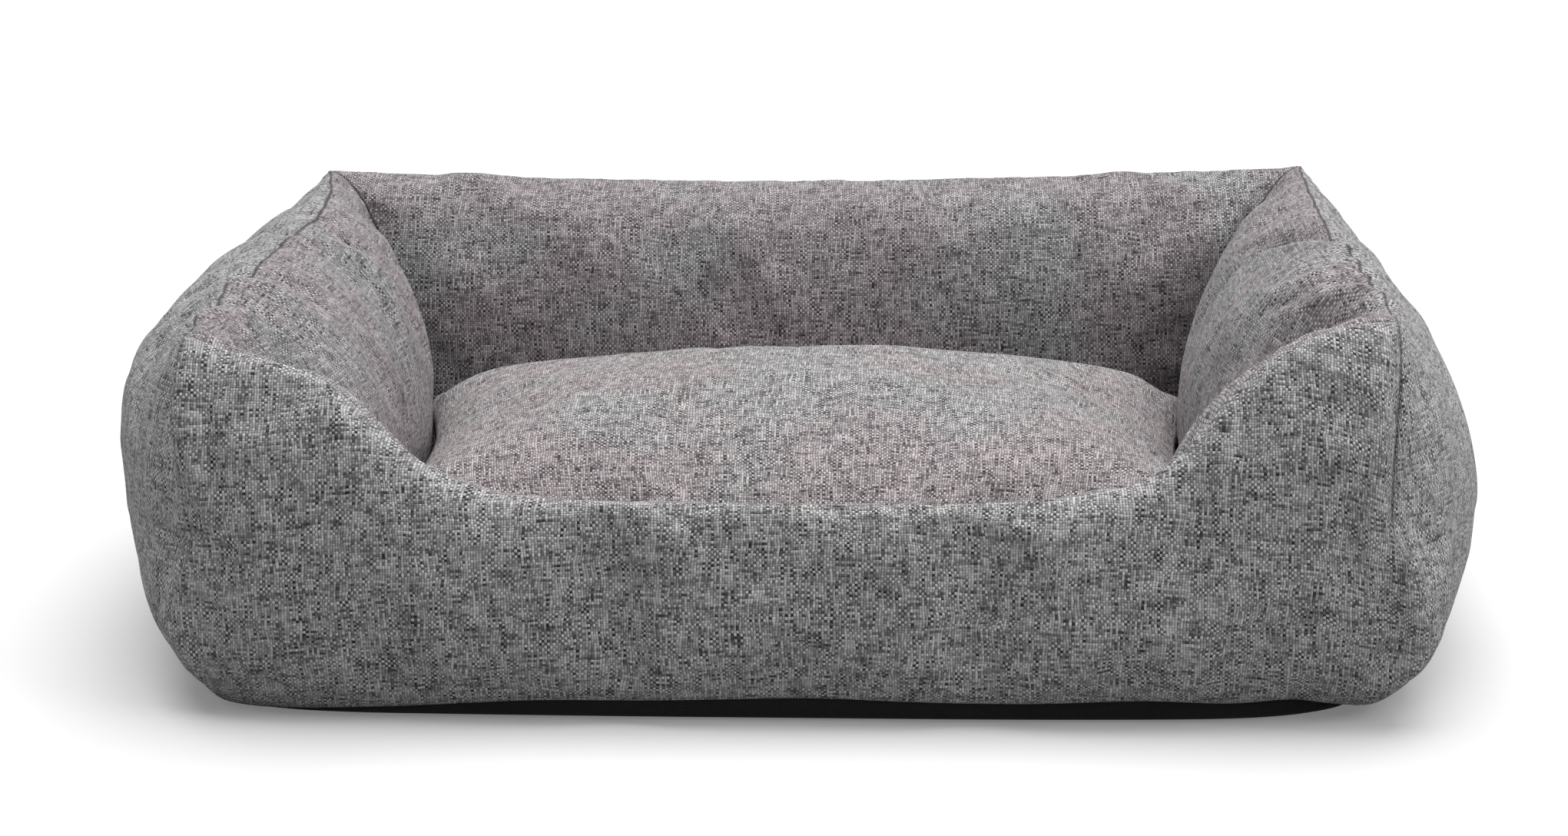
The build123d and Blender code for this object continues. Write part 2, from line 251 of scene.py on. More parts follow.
def makeWeaveGroup():
    tree, given, result = newGroup("plainWeave", "ShaderNodeTree", {
        "Cloth": "Vector", "Pitch": 0.0013, "Slub Length": 0.009, "Dark": (0.06, 0.06, 0.06, 1),
        "Light": (0.7, 0.7, 0.7, 1), "Contrast": 1.0, "Knots": 0.3, "Gap Shade": 0.8, "Clouds": 0.2, "Seed": 0.0,
    }, {"Color": "Color", "Height": "Float"})
    calc = functools.partial(mathNode, tree)
    cloth, pitch, contrast, clouds = (given[name] for name in ("Cloth", "Pitch", "Contrast", "Clouds"))
    wobble = vectorNode(tree, "SUBTRACT", noiseNode(
        tree, cloth, yarns["wobbleScale"], 2.0, flat=True, output="Color"), (0.5, 0.5, 0.5))
    cells = vectorNode(tree, "DIVIDE", cloth, joinNode(tree, pitch, pitch, 1.0))
    shifted = vectorNode(tree, "MULTIPLY_ADD", wobble, (yarns["wobble"], yarns["wobble"], 0.0), cells)
    across, along = addNode(tree, "ShaderNodeSeparateXYZ", inputs={0: shifted}).outputs[:2]
    column, row, inColumn, inRow = (calc(part, place) for part in ("FLOOR", "FRACT") for place in (across, along))
    weftOnTop = calc("FLOORED_MODULO", calc("ADD", column, row), 2.0)
    stretch = calc("DIVIDE", pitch, given["Slub Length"])

    def centredTimes(value, amount):
        return calc("MULTIPLY", calc("SUBTRACT", value, 0.5), amount)

    def yarnTone(number, distance, seed):
        place = joinNode(tree, calc("MULTIPLY", number, yarns["apart"]), calc("MULTIPLY", distance, stretch),
                         calc("ADD", given["Seed"], seed))
        return noiseNode(tree, place, 1.0, *yarns["toneNoise"])

    def streaks(stretchBy):
        # soft patches of lighter and darker yarns, drawn out along one system
        drawn = vectorNode(tree, "MULTIPLY", cloth, stretchBy)
        return noiseNode(tree, drawn, yarns["cloudScale"], *yarns["cloudNoise"], flat=True)

    top = mixNumber(tree, weftOnTop, yarnTone(column, along, yarns["warpSeed"]),
                    yarnTone(row, across, yarns["weftSeed"]))
    grain = addNode(tree, "ShaderNodeTexWhiteNoise", noise_dimensions="2D", inputs={
        "Vector": joinNode(tree, column, row)}).outputs["Value"]
    tone = calc("ADD", centredTimes(top, calc("MULTIPLY", contrast, yarns["toneSpread"])), 0.5)
    for value, amount in ((grain, calc("MULTIPLY", contrast, yarns["grainSpread"])), (weftOnTop, given["Knots"]),
                          (streaks((1.0, yarns["cloudStretch"], 1.0)), clouds),
                          (streaks((yarns["cloudStretch"], 1.0, 1.0)), clouds)):
        tone = calc("ADD", tone, centredTimes(value, amount))
    tone = smoothStep(tree, tone, *yarns["toneRange"])

    def arch(value, power):
        # 0 at both edges of a cell and 1 in its middle
        centre = calc("ABSOLUTE", calc("MULTIPLY_ADD", value, 2.0, -1.0))
        return calc("SUBTRACT", 1.0, calc("POWER", centre, power))

    def packed(value, power):
        # yarns that lie close together leave only a shallow gap
        return calc("MULTIPLY_ADD", arch(value, power), yarns["gapDepth"], 1 - yarns["gapDepth"])

    height = mixNumber(tree, weftOnTop, calc("MULTIPLY", arch(inColumn, 2.0), packed(inRow, 3.0)),
                       calc("MULTIPLY", packed(inRow, 2.0), arch(inColumn, 3.0)))
    fibres = noiseNode(tree, cloth, yarns["fibreScale"], 1.0, flat=True)
    # painted shade: each cell's colour is darker towards its edges, where the gaps between the yarns lie in shade
    shade = calc("MULTIPLY_ADD", calc("SUBTRACT", calc("SQRT", height), 1.0), given["Gap Shade"], 1.0)
    dimmed = vectorNode(tree, "SCALE", mixColour(tree, tone, given["Dark"], given["Light"]), Scale=shade)
    tree.links.new(dimmed, result["Color"])
    tree.links.new(calc("ADD", height, centredTimes(fibres, yarns["fibreRelief"])), result["Height"])
    return tree


def makeGrimeGroup():
    # faint patches where hands and dust have been, as a factor for colours
    tree, given, result = newGroup("handledPatches", "ShaderNodeTree", {
        "Place": "Vector", "Size": 0.06, "Amount": 0.08}, {"Factor": "Float"})
    calc = functools.partial(mathNode, tree)
    patches = noiseNode(tree, given["Place"], calc("DIVIDE", 1.0, given["Size"]), *grains["patchNoise"])
    spread = calc("MULTIPLY", given["Amount"], grains["patchSpread"])
    factor = calc("MULTIPLY_ADD", calc("SUBTRACT", patches, 0.5), spread, 1.0)
    tree.links.new(factor, result["Factor"])
    return tree


def makeBlushGroup():
    # the yarns' tint comes and goes in wide soft patches
    tree, given, result = newGroup("tintPatches", "ShaderNodeTree", {
        "Color": (0.5, 0.5, 0.5, 1), "Place": "Vector", "Tint": (1, 1, 1, 1), "Size": 0.09}, {"Color": "Color"})
    patches = noiseNode(tree, given["Place"], mathNode(tree, "DIVIDE", 1.0, given["Size"]), 2.0)
    tint = mixColour(tree, smoothStep(tree, patches, *grains["tintRange"]), (1, 1, 1, 1), given["Tint"])
    tree.links.new(mixColour(tree, 1.0, given["Color"], tint, "MULTIPLY"), result["Color"])
    return tree


def makeSeamGroup():
    # a thin line where two panels are sewn together, as a factor for colours: painted shade in the seam's groove, or a
    # painted highlight with a depth below 0
    tree, given, result = newGroup("seamShadeLine", "ShaderNodeTree", {
        "Lengths": "Vector", "Width": 0.0015, "Corner Depth": 0.4, "Ridge Depth": 0.6}, {"Factor": "Float"})
    calc = functools.partial(mathNode, tree)
    lengths = addNode(tree, "ShaderNodeSeparateXYZ", inputs={0: given["Lengths"]}).outputs
    corner, ridge = (
        smoothStep(tree, calc("DIVIDE", length, given["Width"]), *grains["lineEdge"],
                   calc("SUBTRACT", 1.0, given[depth]))
        for length, depth in ((lengths[0], "Corner Depth"), (lengths[1], "Ridge Depth")))
    tree.links.new(calc("MULTIPLY", corner, ridge), result["Factor"])
    return tree


weaveGroup = makeWeaveGroup()
grimeGroup = makeGrimeGroup()
blushGroup = makeBlushGroup()
seamShadeGroup = makeSeamGroup()


def newMaterial(name, **constants):
    material = bpy.data.materials.new(name)
    material.use_nodes = True
    tree = material.node_tree
    shader = tree.nodes["Principled BSDF"]
    for socket, value in constants.items():
        shader.inputs[socket.replace("_", " ")].default_value = value
    return material, tree, shader, addNode(tree, "ShaderNodeTexCoord").outputs["Object"]


def addBump(tree, shader, strength, distance, height):
    bump = addNode(tree, "ShaderNodeBump", inputs={"Strength": strength, "Distance": distance, "Height": height})
    tree.links.new(bump.outputs[0], shader.inputs["Normal"])


def clothMaterial(name, look):
    material, tree, shader, solid = newMaterial(name, Roughness=0.92, Specular_IOR_Level=0.18,
                                                Sheen_Weight=look["sheen"], Sheen_Roughness=0.5)
    cloth, seams = (addNode(tree, "ShaderNodeUVMap", uv_map=layer).outputs[0] for layer in ("cloth", "seams"))
    weave = groupNode(tree, weaveGroup, look, Cloth=cloth)
    grime = groupNode(tree, grimeGroup, look, Place=solid, Size=grains["clothPatch"])["Factor"]
    tinted = groupNode(tree, blushGroup, look, Place=solid, Color=weave["Color"])["Color"]
    # painted shade along the seams, and a painted highlight on the front crest, darken or lighten the colour
    seam = groupNode(tree, seamShadeGroup, look, Lengths=seams)["Factor"]
    colour = vectorNode(tree, "SCALE", tinted, Scale=mathNode(tree, "MULTIPLY", seam, grime))
    tree.links.new(colour, shader.inputs["Base Color"])
    addBump(tree, shader, look["bump"], look["Pitch"] * look["relief"], weave["Height"])
    return material


def grainMaterial(name, colour, size, depth, roughness, metallic=0.0):
    # plain stuff with a fine uneven grain, on object coordinates
    material, tree, shader, solid = newMaterial(name, Metallic=metallic, Specular_IOR_Level=0.4)
    grain = noiseNode(tree, solid, 1 / size, *grains["noise"])
    grime = groupNode(tree, grimeGroup, {}, Place=solid, Size=size * grains["patchSizes"],
                      Amount=grains["patchAmount"])["Factor"]
    tree.links.new(vectorNode(tree, "SCALE", colour, Scale=grime), shader.inputs["Base Color"])
    spread = grains["sheenSpread"]
    uneven = mathNode(tree, "MULTIPLY_ADD", grain, spread, roughness - spread / 2, clamp=True)
    tree.links.new(uneven, shader.inputs["Roughness"])
    addBump(tree, shader, grains["bump"], depth, grain)
    return material


clothLook = {
    "Pitch": 0.00135, "Slub Length": 0.011, "Dark": (0.03, 0.03, 0.032, 1), "Light": (0.94, 0.935, 0.935, 1),
    "Contrast": 1.3, "Knots": 0.24, "Gap Shade": 0.75, "Clouds": 0.36, "Seed": 0.0, "Amount": 0.05,
    "Tint": (1.0, 0.985, 0.985, 1), "Width": 0.0014, "Corner Depth": 0.45, "Ridge Depth": 0.65,
    "bump": 0.9, "relief": 0.35, "sheen": 0.15,
}
# the inner side is the same cloth, painted darker and pinker for the shade and the pink cast of light on the inner
# faces
insideShadedLook = {**clothLook, "Light": (0.86, 0.85, 0.85, 1), "Contrast": 1.15, "Clouds": 0.28,
              "Tint": (1.0, 0.905, 0.935, 1), "Seed": 21.0}
# painted highlight along the front wall's crest, where its folded edge catches the light
rimHighlightLook = {"Ridge Depth": -0.35, "Width": 0.0017}
wallCloth = clothMaterial("wallCloth", clothLook)
insideShadedCloth = clothMaterial("insideShadedCloth", insideShadedLook)
# the front wall's cloths are copies of the others with the painted crest highlight
frontRimHighlitCloth = clothMaterial("frontRimHighlitCloth", {**clothLook, **rimHighlightLook})
frontInsideShadedRimHighlitCloth = clothMaterial("frontInsideShadedRimHighlitCloth", {**insideShadedLook, **rimHighlightLook})
cushionCloth = clothMaterial("cushionCloth", {
    **clothLook, "Dark": (0.04, 0.037, 0.038, 1), "Light": (0.88, 0.865, 0.865, 1),
    "Tint": (1.02, 0.93, 0.952, 1), "Seed": 47.0})
liningCloth = clothMaterial("liningCloth", {
    **clothLook, "Pitch": 0.0008, "Slub Length": 0.02, "Contrast": 0.35, "Knots": 0.2, "Clouds": 0.1,
    "Dark": (0.16, 0.155, 0.155, 1), "Light": (0.36, 0.35, 0.35, 1), "Seed": 80.0})
baseCloth = clothMaterial("baseCloth", {
    **clothLook, "Pitch": 0.0006, "Contrast": 0.4, "Knots": 0.2, "Clouds": 0.2, "Dark": (0.010, 0.010, 0.011, 1),
    "Light": (0.035, 0.035, 0.037, 1), "Seed": 95.0, "sheen": 0.05, "bump": 0.5})
tapeCloth = grainMaterial("zipTapeCloth", (0.10, 0.10, 0.105), 0.0006, 0.0001, 0.85)
fibreStuff = grainMaterial("whiteFibre", (0.86, 0.86, 0.84), 0.006, 0.0012, 0.95)
waddingStuff = grainMaterial("bondedWadding", (0.84, 0.84, 0.82), 0.003, 0.0005, 0.95)
coilNylon = grainMaterial("coilNylon", (0.09, 0.09, 0.095), 0.0015, 0.00002, 0.42)
zipEnamel = grainMaterial("zipEnamel", (0.055, 0.055, 0.058), 0.0018, 0.00002, 0.38, metallic=0.65)
seamThread = grainMaterial("seamThread", (0.14, 0.14, 0.145), 0.0005, 0.00005, 0.8)
gripRubber = grainMaterial("gripRubber", (0.02, 0.02, 0.021), 0.001, 0.00003, 0.6)
print("materials made")


# The walls: one ring of cloth, from the outer foot over the ridge to the inner foot, cut at its seams

ringForm = {
    "columns": {"front": 100, "right": 84, "back": 100, "left": 84}, "rowsOut": 40, "rowsIn": 38,
    "swell": 2.6, "cornerTurn": 5, "hemDrop": 0.001, "hemWave": 0.0018, "clothThickness": 0.0012,
    "crestSoftness": 0.012, "hemSoftness": 0.018, "softSamples": 7, "hemBlend": 8, "samples": 41,
    "hemWaves": ((7.3, 0.6, 1.0), (17.1, 2.0, 0.6)), "lineFade": 0.02, "lineWidth": 0.002, "underSteps": 8,
}
# Qualities given in pairs are for the outer side and the inner side of a wall. Two more run with the height,
# as (heights, values): a corner's turn is the share of its swelling that goes to the side, 1 for a seam on the
# diagonal and 0 for one that drops straight in front, and its ease is how far it is rounded off in plan.
backCorner = {"lineLength": 0.16, "foot": (-0.014, 0.038), "footPowers": (1.0, 1.0),
              "turn": ((0.0,), (1.0,)), "ease": ((0.02, 0.14), (0.018, 0.0))}
corners = {
    "frontLeft": {"height": 0.190, "lineLength": 0.01, "belly": (0.0345, 0.048), "foot": (0.009, 0.038),
                  "fullness": (1.8, 1.8), "bellyShare": (0.46, 0.50), "footPowers": (1.5, 0.9),
                  "turn": ((0.04, 0.09), (1.0, 0.15)), "ease": ((0.015, 0.06, 0.15), (0.020, 0.014, 0.0))},
    "frontRight": {"height": 0.2005, "lineLength": 0.10, "belly": (0.037, 0.050), "foot": (0.0055, 0.038),
                   "fullness": (1.7, 1.9), "bellyShare": (0.43, 0.50), "footPowers": (0.9, 0.9),
                   "turn": ((0.035, 0.075, 0.1), (1.0, 0.4, 0.05)),
                   "ease": ((0.015, 0.05, 0.10), (0.020, 0.008, 0.0))},
    "backRight": {**backCorner, "height": 0.2025, "belly": (0.0155, 0.048), "fullness": (1.6, 1.8),
                  "bellyShare": (0.44, 0.50)},
    "backLeft": {**backCorner, "height": 0.197, "belly": (0.0065, 0.049), "fullness": (2.2, 1.9),
                 "bellyShare": (0.50, 0.50)},
}
walls = {
    "front": {"along": (1, 0), "reach": ridgeHalfDepth, "run": ridgeHalfWidth,
              "ends": ("frontLeft", "frontRight"), "belly": (0.029, 0.054), "foot": (0.015, 0.046),
              "bellyShare": (0.42, 0.50), "fullness": (3.6, 1.6), "footPowers": (1.2, 1.11),
              "crestOut": 0.020, "seamShift": 0.003, "seamLean": 0.0, "easePower": 11.0},
    "right": {"along": (0, 1), "reach": ridgeHalfWidth, "run": ridgeHalfDepth,
              "ends": ("frontRight", "backRight"), "belly": (0.0617, 0.081), "foot": (0.0035, 0.066),
              "bellyShare": (0.43, 0.495), "fullness": (1.47, 1.8), "footPowers": (0.85, 1.0),
              "crestOut": -0.0035, "seamShift": 0.0, "seamLean": 0.004, "sag": 0.0045, "easePower": 6.0},
    "back": {"along": (-1, 0), "reach": ridgeHalfDepth, "run": ridgeHalfWidth,
             "ends": ("backRight", "backLeft"), "belly": (0.029, 0.058), "foot": (0.012, 0.048),
             "bellyShare": (0.42, 0.50), "fullness": (2.2, 2.6), "footPowers": (1.2, 1.11),
             "crestOut": 0.0025, "seamShift": -0.008, "seamLean": 0.0, "sag": 0.009, "easePower": 11.0},
    "left": {"along": (0, -1), "reach": ridgeHalfWidth, "run": ridgeHalfDepth,
             "ends": ("backLeft", "frontLeft"), "belly": (0.0637, 0.078), "foot": (0.010, 0.066),
             "bellyShare": (0.72, 0.49), "fullness": (1.35, 1.75), "footPowers": (1.0, 0.7),
             "crestOut": -0.0055, "seamShift": 0.002, "seamLean": -0.018, "sag": 0.003, "easePower": 4.0},
}
# Heights above the floor along the front, listed as (place from the middle, height): the crest and the hem
frontCrest = ((-0.2935, 0.190), (-0.275, 0.183), (-0.252, 0.178), (-0.229, 0.1715), (-0.214, 0.162), (-0.203, 0.150),
              (-0.188, 0.136), (-0.173, 0.125), (-0.155, 0.1165), (-0.140, 0.112), (-0.11, 0.1105), (-0.01, 0.1095),
              (0.08, 0.1095), (0.129, 0.112), (0.153, 0.116), (0.173, 0.121), (0.190, 0.135), (0.202, 0.1535),
              (0.214, 0.168), (0.229, 0.183), (0.251, 0.194), (0.273, 0.199), (0.2935, 0.2005))
frontHem = ((-0.29, 0.0015), (-0.25, 0.0035), (-0.19, 0.0065), (-0.125, 0.0108), (-0.06, 0.0112), (0.01, 0.0135),
            (0.07, 0.0112), (0.12, 0.0108), (0.175, 0.0130), (0.215, 0.0105), (0.25, 0.0125), (0.29, 0.004))


def cornerMix(wall, share, quality):
    # a quality that runs evenly from one corner of a wall to its other corner
    first, last = (np.array(corners[end][quality]) for end in wall["ends"])
    return first + (last - first) * (share + 1) / 2


def heightAlongFront(drawn, share, soften):
    # a line drawn in front, with its kinks rounded off everywhere but at its ends
    spread = np.linspace(-soften, soften, ringForm["softSamples"]) * (1 - share ** 4)
    return float(np.mean(np.interp(share * ridgeHalfWidth + spread, *zip(*drawn))))


def crestHeight(wall, share):
    if "sag" in wall:
        return cornerMix(wall, share, "height") - wall["sag"] * (1 - share ** 2)
    return heightAlongFront(frontCrest, share, ringForm["crestSoftness"])


def hemHeight(wallName, share):
    wall = walls[wallName]
    if wallName == "front":
        return heightAlongFront(frontHem, share, ringForm["hemSoftness"])
    turn = {"right": 1, "back": 2, "left": 3}[wallName] * 2 + share
    wave = sum(size * math.sin(turn * pace + start) for pace, start, size in ringForm["hemWaves"])
    even = footHeight - ringForm["hemDrop"] + ringForm["hemWave"] * wave * (1 - share ** 4)
    front = {"frontLeft": frontHem[0][1], "frontRight": frontHem[-1][1]}.get(wall["ends"][share > 0])
    return even if front is None else even + (front - even) * abs(share) ** ringForm["hemBlend"]


def sectionLine(wallName, share):
    # (distance out of the ridge line, height) across a wall, densely, and the length at which its seam lies
    wall = walls[wallName]
    mid = 1 - abs(share) ** ringForm["swell"]
    crest = crestHeight(wall, share)
    crestOut = mid * wall["crestOut"]
    bellies, feet, bellyShares, fullnesses, footPowers = (
        (1 - mid) * cornerMix(wall, share, part) + mid * np.array(wall[part])
        for part in ("belly", "foot", "bellyShare", "fullness", "footPowers"))
    angles = np.linspace(0, math.pi / 2, ringForm["samples"])
    cosine, sine = np.cos(angles).clip(0), np.sin(angles)
    outPower, downPower = footPowers
    halves = []
    for side, sign in ((0, 1), (1, -1)):
        belly, foot, fullness = sign * bellies[side], sign * feet[side], fullnesses[side]
        low = hemHeight(wallName, share) if side == 0 else footHeight
        bellyHeight = footHeight + bellyShares[side] * (crest - footHeight)
        lowerOut = foot + (belly - foot) * cosine ** outPower
        lowerHeight = bellyHeight - (bellyHeight - low) * sine ** downPower
        upperOut = crestOut + (belly - crestOut) * cosine ** (2 / fullness)
        upperHeight = bellyHeight + (crest - bellyHeight) * sine ** (2 / fullness)
        halves.append(np.stack([np.concatenate([lowerOut[::-1], upperOut[1:]]),
                                np.concatenate([lowerHeight[::-1], upperHeight[1:]])], axis=1))
    line = np.concatenate([halves[0], halves[1][::-1][1:]])
    lengths = linePlaces(*line.T)
    seamShift = mid * (wall["seamShift"] + wall["seamLean"] * share)
    return line, lengths, lengths[len(halves[0]) - 1] + seamShift


def ringColumn(wallName, share):
    # points and cloth coordinates of one column of the ring
    wall = walls[wallName]
    corner = corners[wall["ends"][share > 0]]
    line, lengths, seamAt = sectionLine(wallName, share)
    stops = np.concatenate([np.linspace(0, seamAt, ringForm["rowsOut"] + 1),
                            np.linspace(seamAt, lengths[-1], ringForm["rowsIn"] + 1)[1:]])
    out = np.interp(stops, lengths, line[:, 0])
    height = np.interp(stops, lengths, line[:, 1])
    outside = np.arange(len(stops)) <= ringForm["rowsOut"]
    turn = np.where(outside, np.interp(height, *corner["turn"]), 1.0)
    ease = np.where(outside, np.interp(height, *corner["ease"]), 0.0)
    outEnd, alongEnd = (np.ones_like(turn), turn) if wallName in ("front", "back") else (turn, np.ones_like(turn))
    near = abs(share) ** ringForm["cornerTurn"]
    place = share * wall["run"] + math.copysign(1, share) * (out * alongEnd - ease) * near
    reach = wall["reach"] + out * (1 - (1 - outEnd) * near) - ease * abs(share) ** wall["easePower"]
    alongX, alongY = wall["along"]
    points = np.column_stack([reach * alongY + place * alongX, place * alongY - reach * alongX, height])
    return points, place, stops, lengths[-1]


ringColumns = [(name, share, *ringColumn(name, share)) for name in walls
               for share in np.linspace(-1, 1, ringForm["columns"][name] + 1)[:-1].tolist()]
ringWalls, ringShares, ringPoints, ringPlaces, ringLengths, ringTotals = map(list, zip(*ringColumns))
ringPoints, ringLengths, ringTotals = map(np.array, (ringPoints, ringLengths, ringTotals))
seamRow = ringForm["rowsOut"]
columnCount, rowCount = ringPoints.shape[:2]
columnStart = {name: ringWalls.index(name) for name in walls}
fromSeam = ringLengths - ringLengths[:, [seamRow]]
fromRidge = np.abs(fromSeam)
fromFoot = np.minimum(ringLengths, ringTotals[:, None] - ringLengths)
print("ring of cloth:", ringPoints.shape)

# Soft unevenness of hand stuffing, none at the seams
lumps = {"size": 0.16, "depth": 0.0016, "fine": 0.06, "fineDepth": 0.0006, "seed": 5, "seamReach": 0.02}
openness = 1 - np.exp(-(np.minimum(fromRidge, fromFoot) / lumps["seamReach"]) ** 2)
lump = lumps["depth"] * smoothNoise(ringPoints, lumps["size"], lumps["seed"])
lump += lumps["fineDepth"] * smoothNoise(ringPoints, lumps["fine"], lumps["seed"] + 1)
ringPoints = ringPoints + gridNormals(ringPoints) * (lump * openness)[:, :, None]

# Folds that a hand has left in the stuffed walls, as (wall, width, path), with all lengths in mm. A path runs through
# (share along the wall, length from the ridge and positive on the inner side, how far it stands out)
folds = [
    ("right", 9, ((-0.73, 2, 4.5), (-0.66, 21, 9), (-0.62, 41, 9), (-0.55, 66, 3))),
    ("right", 10, ((-0.87, 6, -3), (-0.81, 20, -10.5), (-0.75, 38, -12), (-0.7, 60, -4.5))),
    ("right", 8, ((-0.61, 2, -3), (-0.59, 28, -6), (-0.52, 52, -4.5), (-0.44, 72, 0))),
    ("right", 9, ((-0.5, -10, 1.5), (-0.5, 7, 4.5), (-0.53, 30, 4.5), (-0.42, 58, 3))),
    ("right", 8, ((-0.42, 3, -3), (-0.46, 28, -3.75), (-0.38, 55, -1.5))),
    ("right", 12, ((-0.35, 4, 3), (-0.41, 26, 4.5), (-0.34, 54, 4.5), (-0.28, 77, 1.5))),
    ("right", 30, ((-0.32, 15, 4.5), (-0.24, 45, 7.5), (-0.12, 75, 4.5))),
    ("right", 10, ((-0.2, -12, 3), (-0.16, 1, 6), (0.02, 19, 7.5), (0.18, 38, 7.5), (0.24, 60, 3))),
    ("right", 15, ((-0.05, -4, -6), (0.13, 14, -10.5), (0.31, 36, -9), (0.36, 60, -1.5))),
    ("left", 13, ((-0.42, 4, -4.5), (-0.38, 34, -7.5), (-0.34, 55, -1.5))),
    ("left", 12, ((-0.09, 6, 3), (-0.2, 40, 7.5), (-0.17, 70, 3))),
    ("left", 12, ((0.28, 2, -4.5), (0.24, 30, -6), (0.29, 55, -1.5))),
    ("left", 12, ((0.47, 6, 4.5), (0.44, 40, 4.5))),
    ("left", 11, ((0.64, 4, -6), (0.6, 40, -6), (0.56, 62, -1.5))),
    ("left", 9, ((0.8, 2, 3), (0.76, 28, 4.5), (0.67, 57, 1.5))),
    # in front, beside the seams that come down from the tips
    ("front", 6.5, ((-0.93, -8, -3), (-0.94, -40, -4), (-0.935, -80, -3), (-0.92, -120, 0))),
    ("front", 6, ((-0.985, -20, 1), (-0.985, -60, 2), (-0.98, -100, 0))),
    ("left", 10, ((0.95, -10, -3), (0.94, -50, -6), (0.94, -110, -1.5))),
    ("front", 7, ((0.96, -20, 1), (0.96, -60, 3), (0.955, -105, 4), (0.95, -125, 1))),
    ("front", 5.5, ((1.0, -4, -2), (1.0, -50, -6), (1.0, -100, -6), (1.0, -125, 0))),
]
wallEnds = np.cumsum([2 * wall["run"] for wall in walls.values()])
ringLoop = wallEnds[-1]
wallStarts = dict(zip(walls, [0, *wallEnds[:-1]]))


def runAlongRing(wallName, share):
    return wallStarts[wallName] + (share + 1) * walls[wallName]["run"]


ringRuns = np.array([runAlongRing(name, share) for name, share in zip(ringWalls, ringShares)])


def foldShift(wallName, width, path):
    # how far a fold moves each point of the ring outwards
    stations = np.array(path, dtype=float)
    stations[:, 0] = runAlongRing(wallName, stations[:, 0])
    stations[:, 1:] /= 1000
    nearest = np.full(fromSeam.shape, np.inf)
    rise = np.zeros(fromSeam.shape)
    for first, last in zip(stations[:-1], stations[1:]):
        step = last - first
        alongFirst = (ringRuns - first[0] + ringLoop / 2) % ringLoop - ringLoop / 2
        aside = fromSeam - first[1]
        share = ((alongFirst[:, None] * step[0] + aside * step[1]) / (step[0] ** 2 + step[1] ** 2)).clip(0, 1)
        far = np.hypot(alongFirst[:, None] - share * step[0], aside - share * step[1])
        rise = np.where(far < nearest, first[2] + share * step[2], rise)
        nearest = np.minimum(far, nearest)
    return rise * np.exp(-(nearest / (width / 1000)) ** 2)


foldTotal = sum(foldShift(*fold) for fold in folds)
ringPoints = ringPoints + gridNormals(ringPoints) * foldTotal[:, :, None]

pressCloth = {"frames": 18, "cap": 0.005, "evenOut": 40, "footReach": 0.012, "stuff": {
    "quality": 5, "mass": 0.3, "air_damping": 2.0, "tension_stiffness": 14.0, "compression_stiffness": 14.0,
    "shear_stiffness": 14.0 / 3, "bending_stiffness": 0.4, "use_pressure": True, "uniform_pressure_force": 3.0,
    "shrink_min": -0.035, "vertex_group_mass": "seams"}}


def relaxCloth(name, points, faces, pins):
    # puffs a closed form up between its pinned points and gives back how far each point moved
    piece = plainObject(name, points, faces)
    piece.vertex_groups.new(name="seams").add(pins, 1.0, "REPLACE")
    cloth = piece.modifiers.new("puff", "CLOTH")
    for quality, value in pressCloth["stuff"].items():
        setattr(cloth.settings, quality, value)
    cloth.settings.effector_weights.gravity = 0
    cloth.collision_settings.use_collision = cloth.collision_settings.use_self_collision = False
    cloth.point_cache.frame_start = 1
    cloth.point_cache.frame_end = pressCloth["frames"]
    for step in range(1, pressCloth["frames"] + 1):
        bpy.context.scene.frame_set(step)
    puffed = evaluatedMesh(piece)
    shift = meshPoints(puffed) - points
    bpy.context.scene.frame_set(1)
    bpy.data.objects.remove(piece)
    bpy.data.meshes.remove(puffed)
    return shift


def clothDetail(name, shift):
    # the puckers of a settled grid without its even swelling, since the form already has that, and capped
    times, cap = pressCloth["evenOut"], pressCloth["cap"]
    detail = shift - smoothAlong(smoothAlong(shift, 0, times), 1, times)
    far = np.linalg.norm(detail, axis=2, keepdims=True)
    print(name, "cloth detail, mm: mean %.1f, most %.1f" % (far.mean() * 1000, far.max() * 1000))
    return detail * (cap * np.tanh(far / cap) / far.clip(1e-9))


# the ring is closed underneath with a few rows that stay put
across = np.linspace(0, 1, ringForm["underSteps"])[None, 1:-1, None]
under = ringPoints[:, -1:] * (1 - across) + ringPoints[:, :1] * across
fullRing = np.concatenate([ringPoints, under], axis=1)
index = gridIndex(fullRing)
following, above = np.roll(index, -1, axis=0), np.roll(index, -1, axis=1)
faces = np.stack([index, following, np.roll(following, -1, axis=1), above], axis=-1).reshape(-1, 4)
pinned = np.zeros(index.shape, dtype=bool)
pinned[:, [0, seamRow]] = True
pinned[:, rowCount - 1:] = True
pinned[list(columnStart.values())] = True
shift = relaxCloth("wallRing", fullRing.reshape(-1, 3), faces.tolist(), index[pinned].tolist())
detail = clothDetail("wallRing", shift.reshape(fullRing.shape))[:, :rowCount]
ringPoints = ringPoints + detail * (1 - np.exp(-(fromFoot / pressCloth["footReach"]) ** 2))[:, :, None]
print("wall cloth settled")


# Grooves where the seams pull in
seamGroove = {"depth": 0.0018, "width": 0.0035, "pucker": 0.0007, "puckerWidth": 0.012, "puckerSize": 0.013,
              "seed": 13, "endShare": 0.5}
groove = seamGroove["depth"] * np.exp(-(fromRidge / seamGroove["width"]) ** 2)
puckers = smoothNoise(ringPoints[:, seamRow], seamGroove["puckerSize"], seamGroove["seed"])[:, None]
groove += seamGroove["pucker"] * puckers * np.exp(-(fromRidge / seamGroove["puckerWidth"]) ** 2)
groove[[name in ("front", "back") for name in ringWalls]] *= seamGroove["endShare"]
ringPoints = ringPoints - gridNormals(ringPoints) * groove[:, :, None]


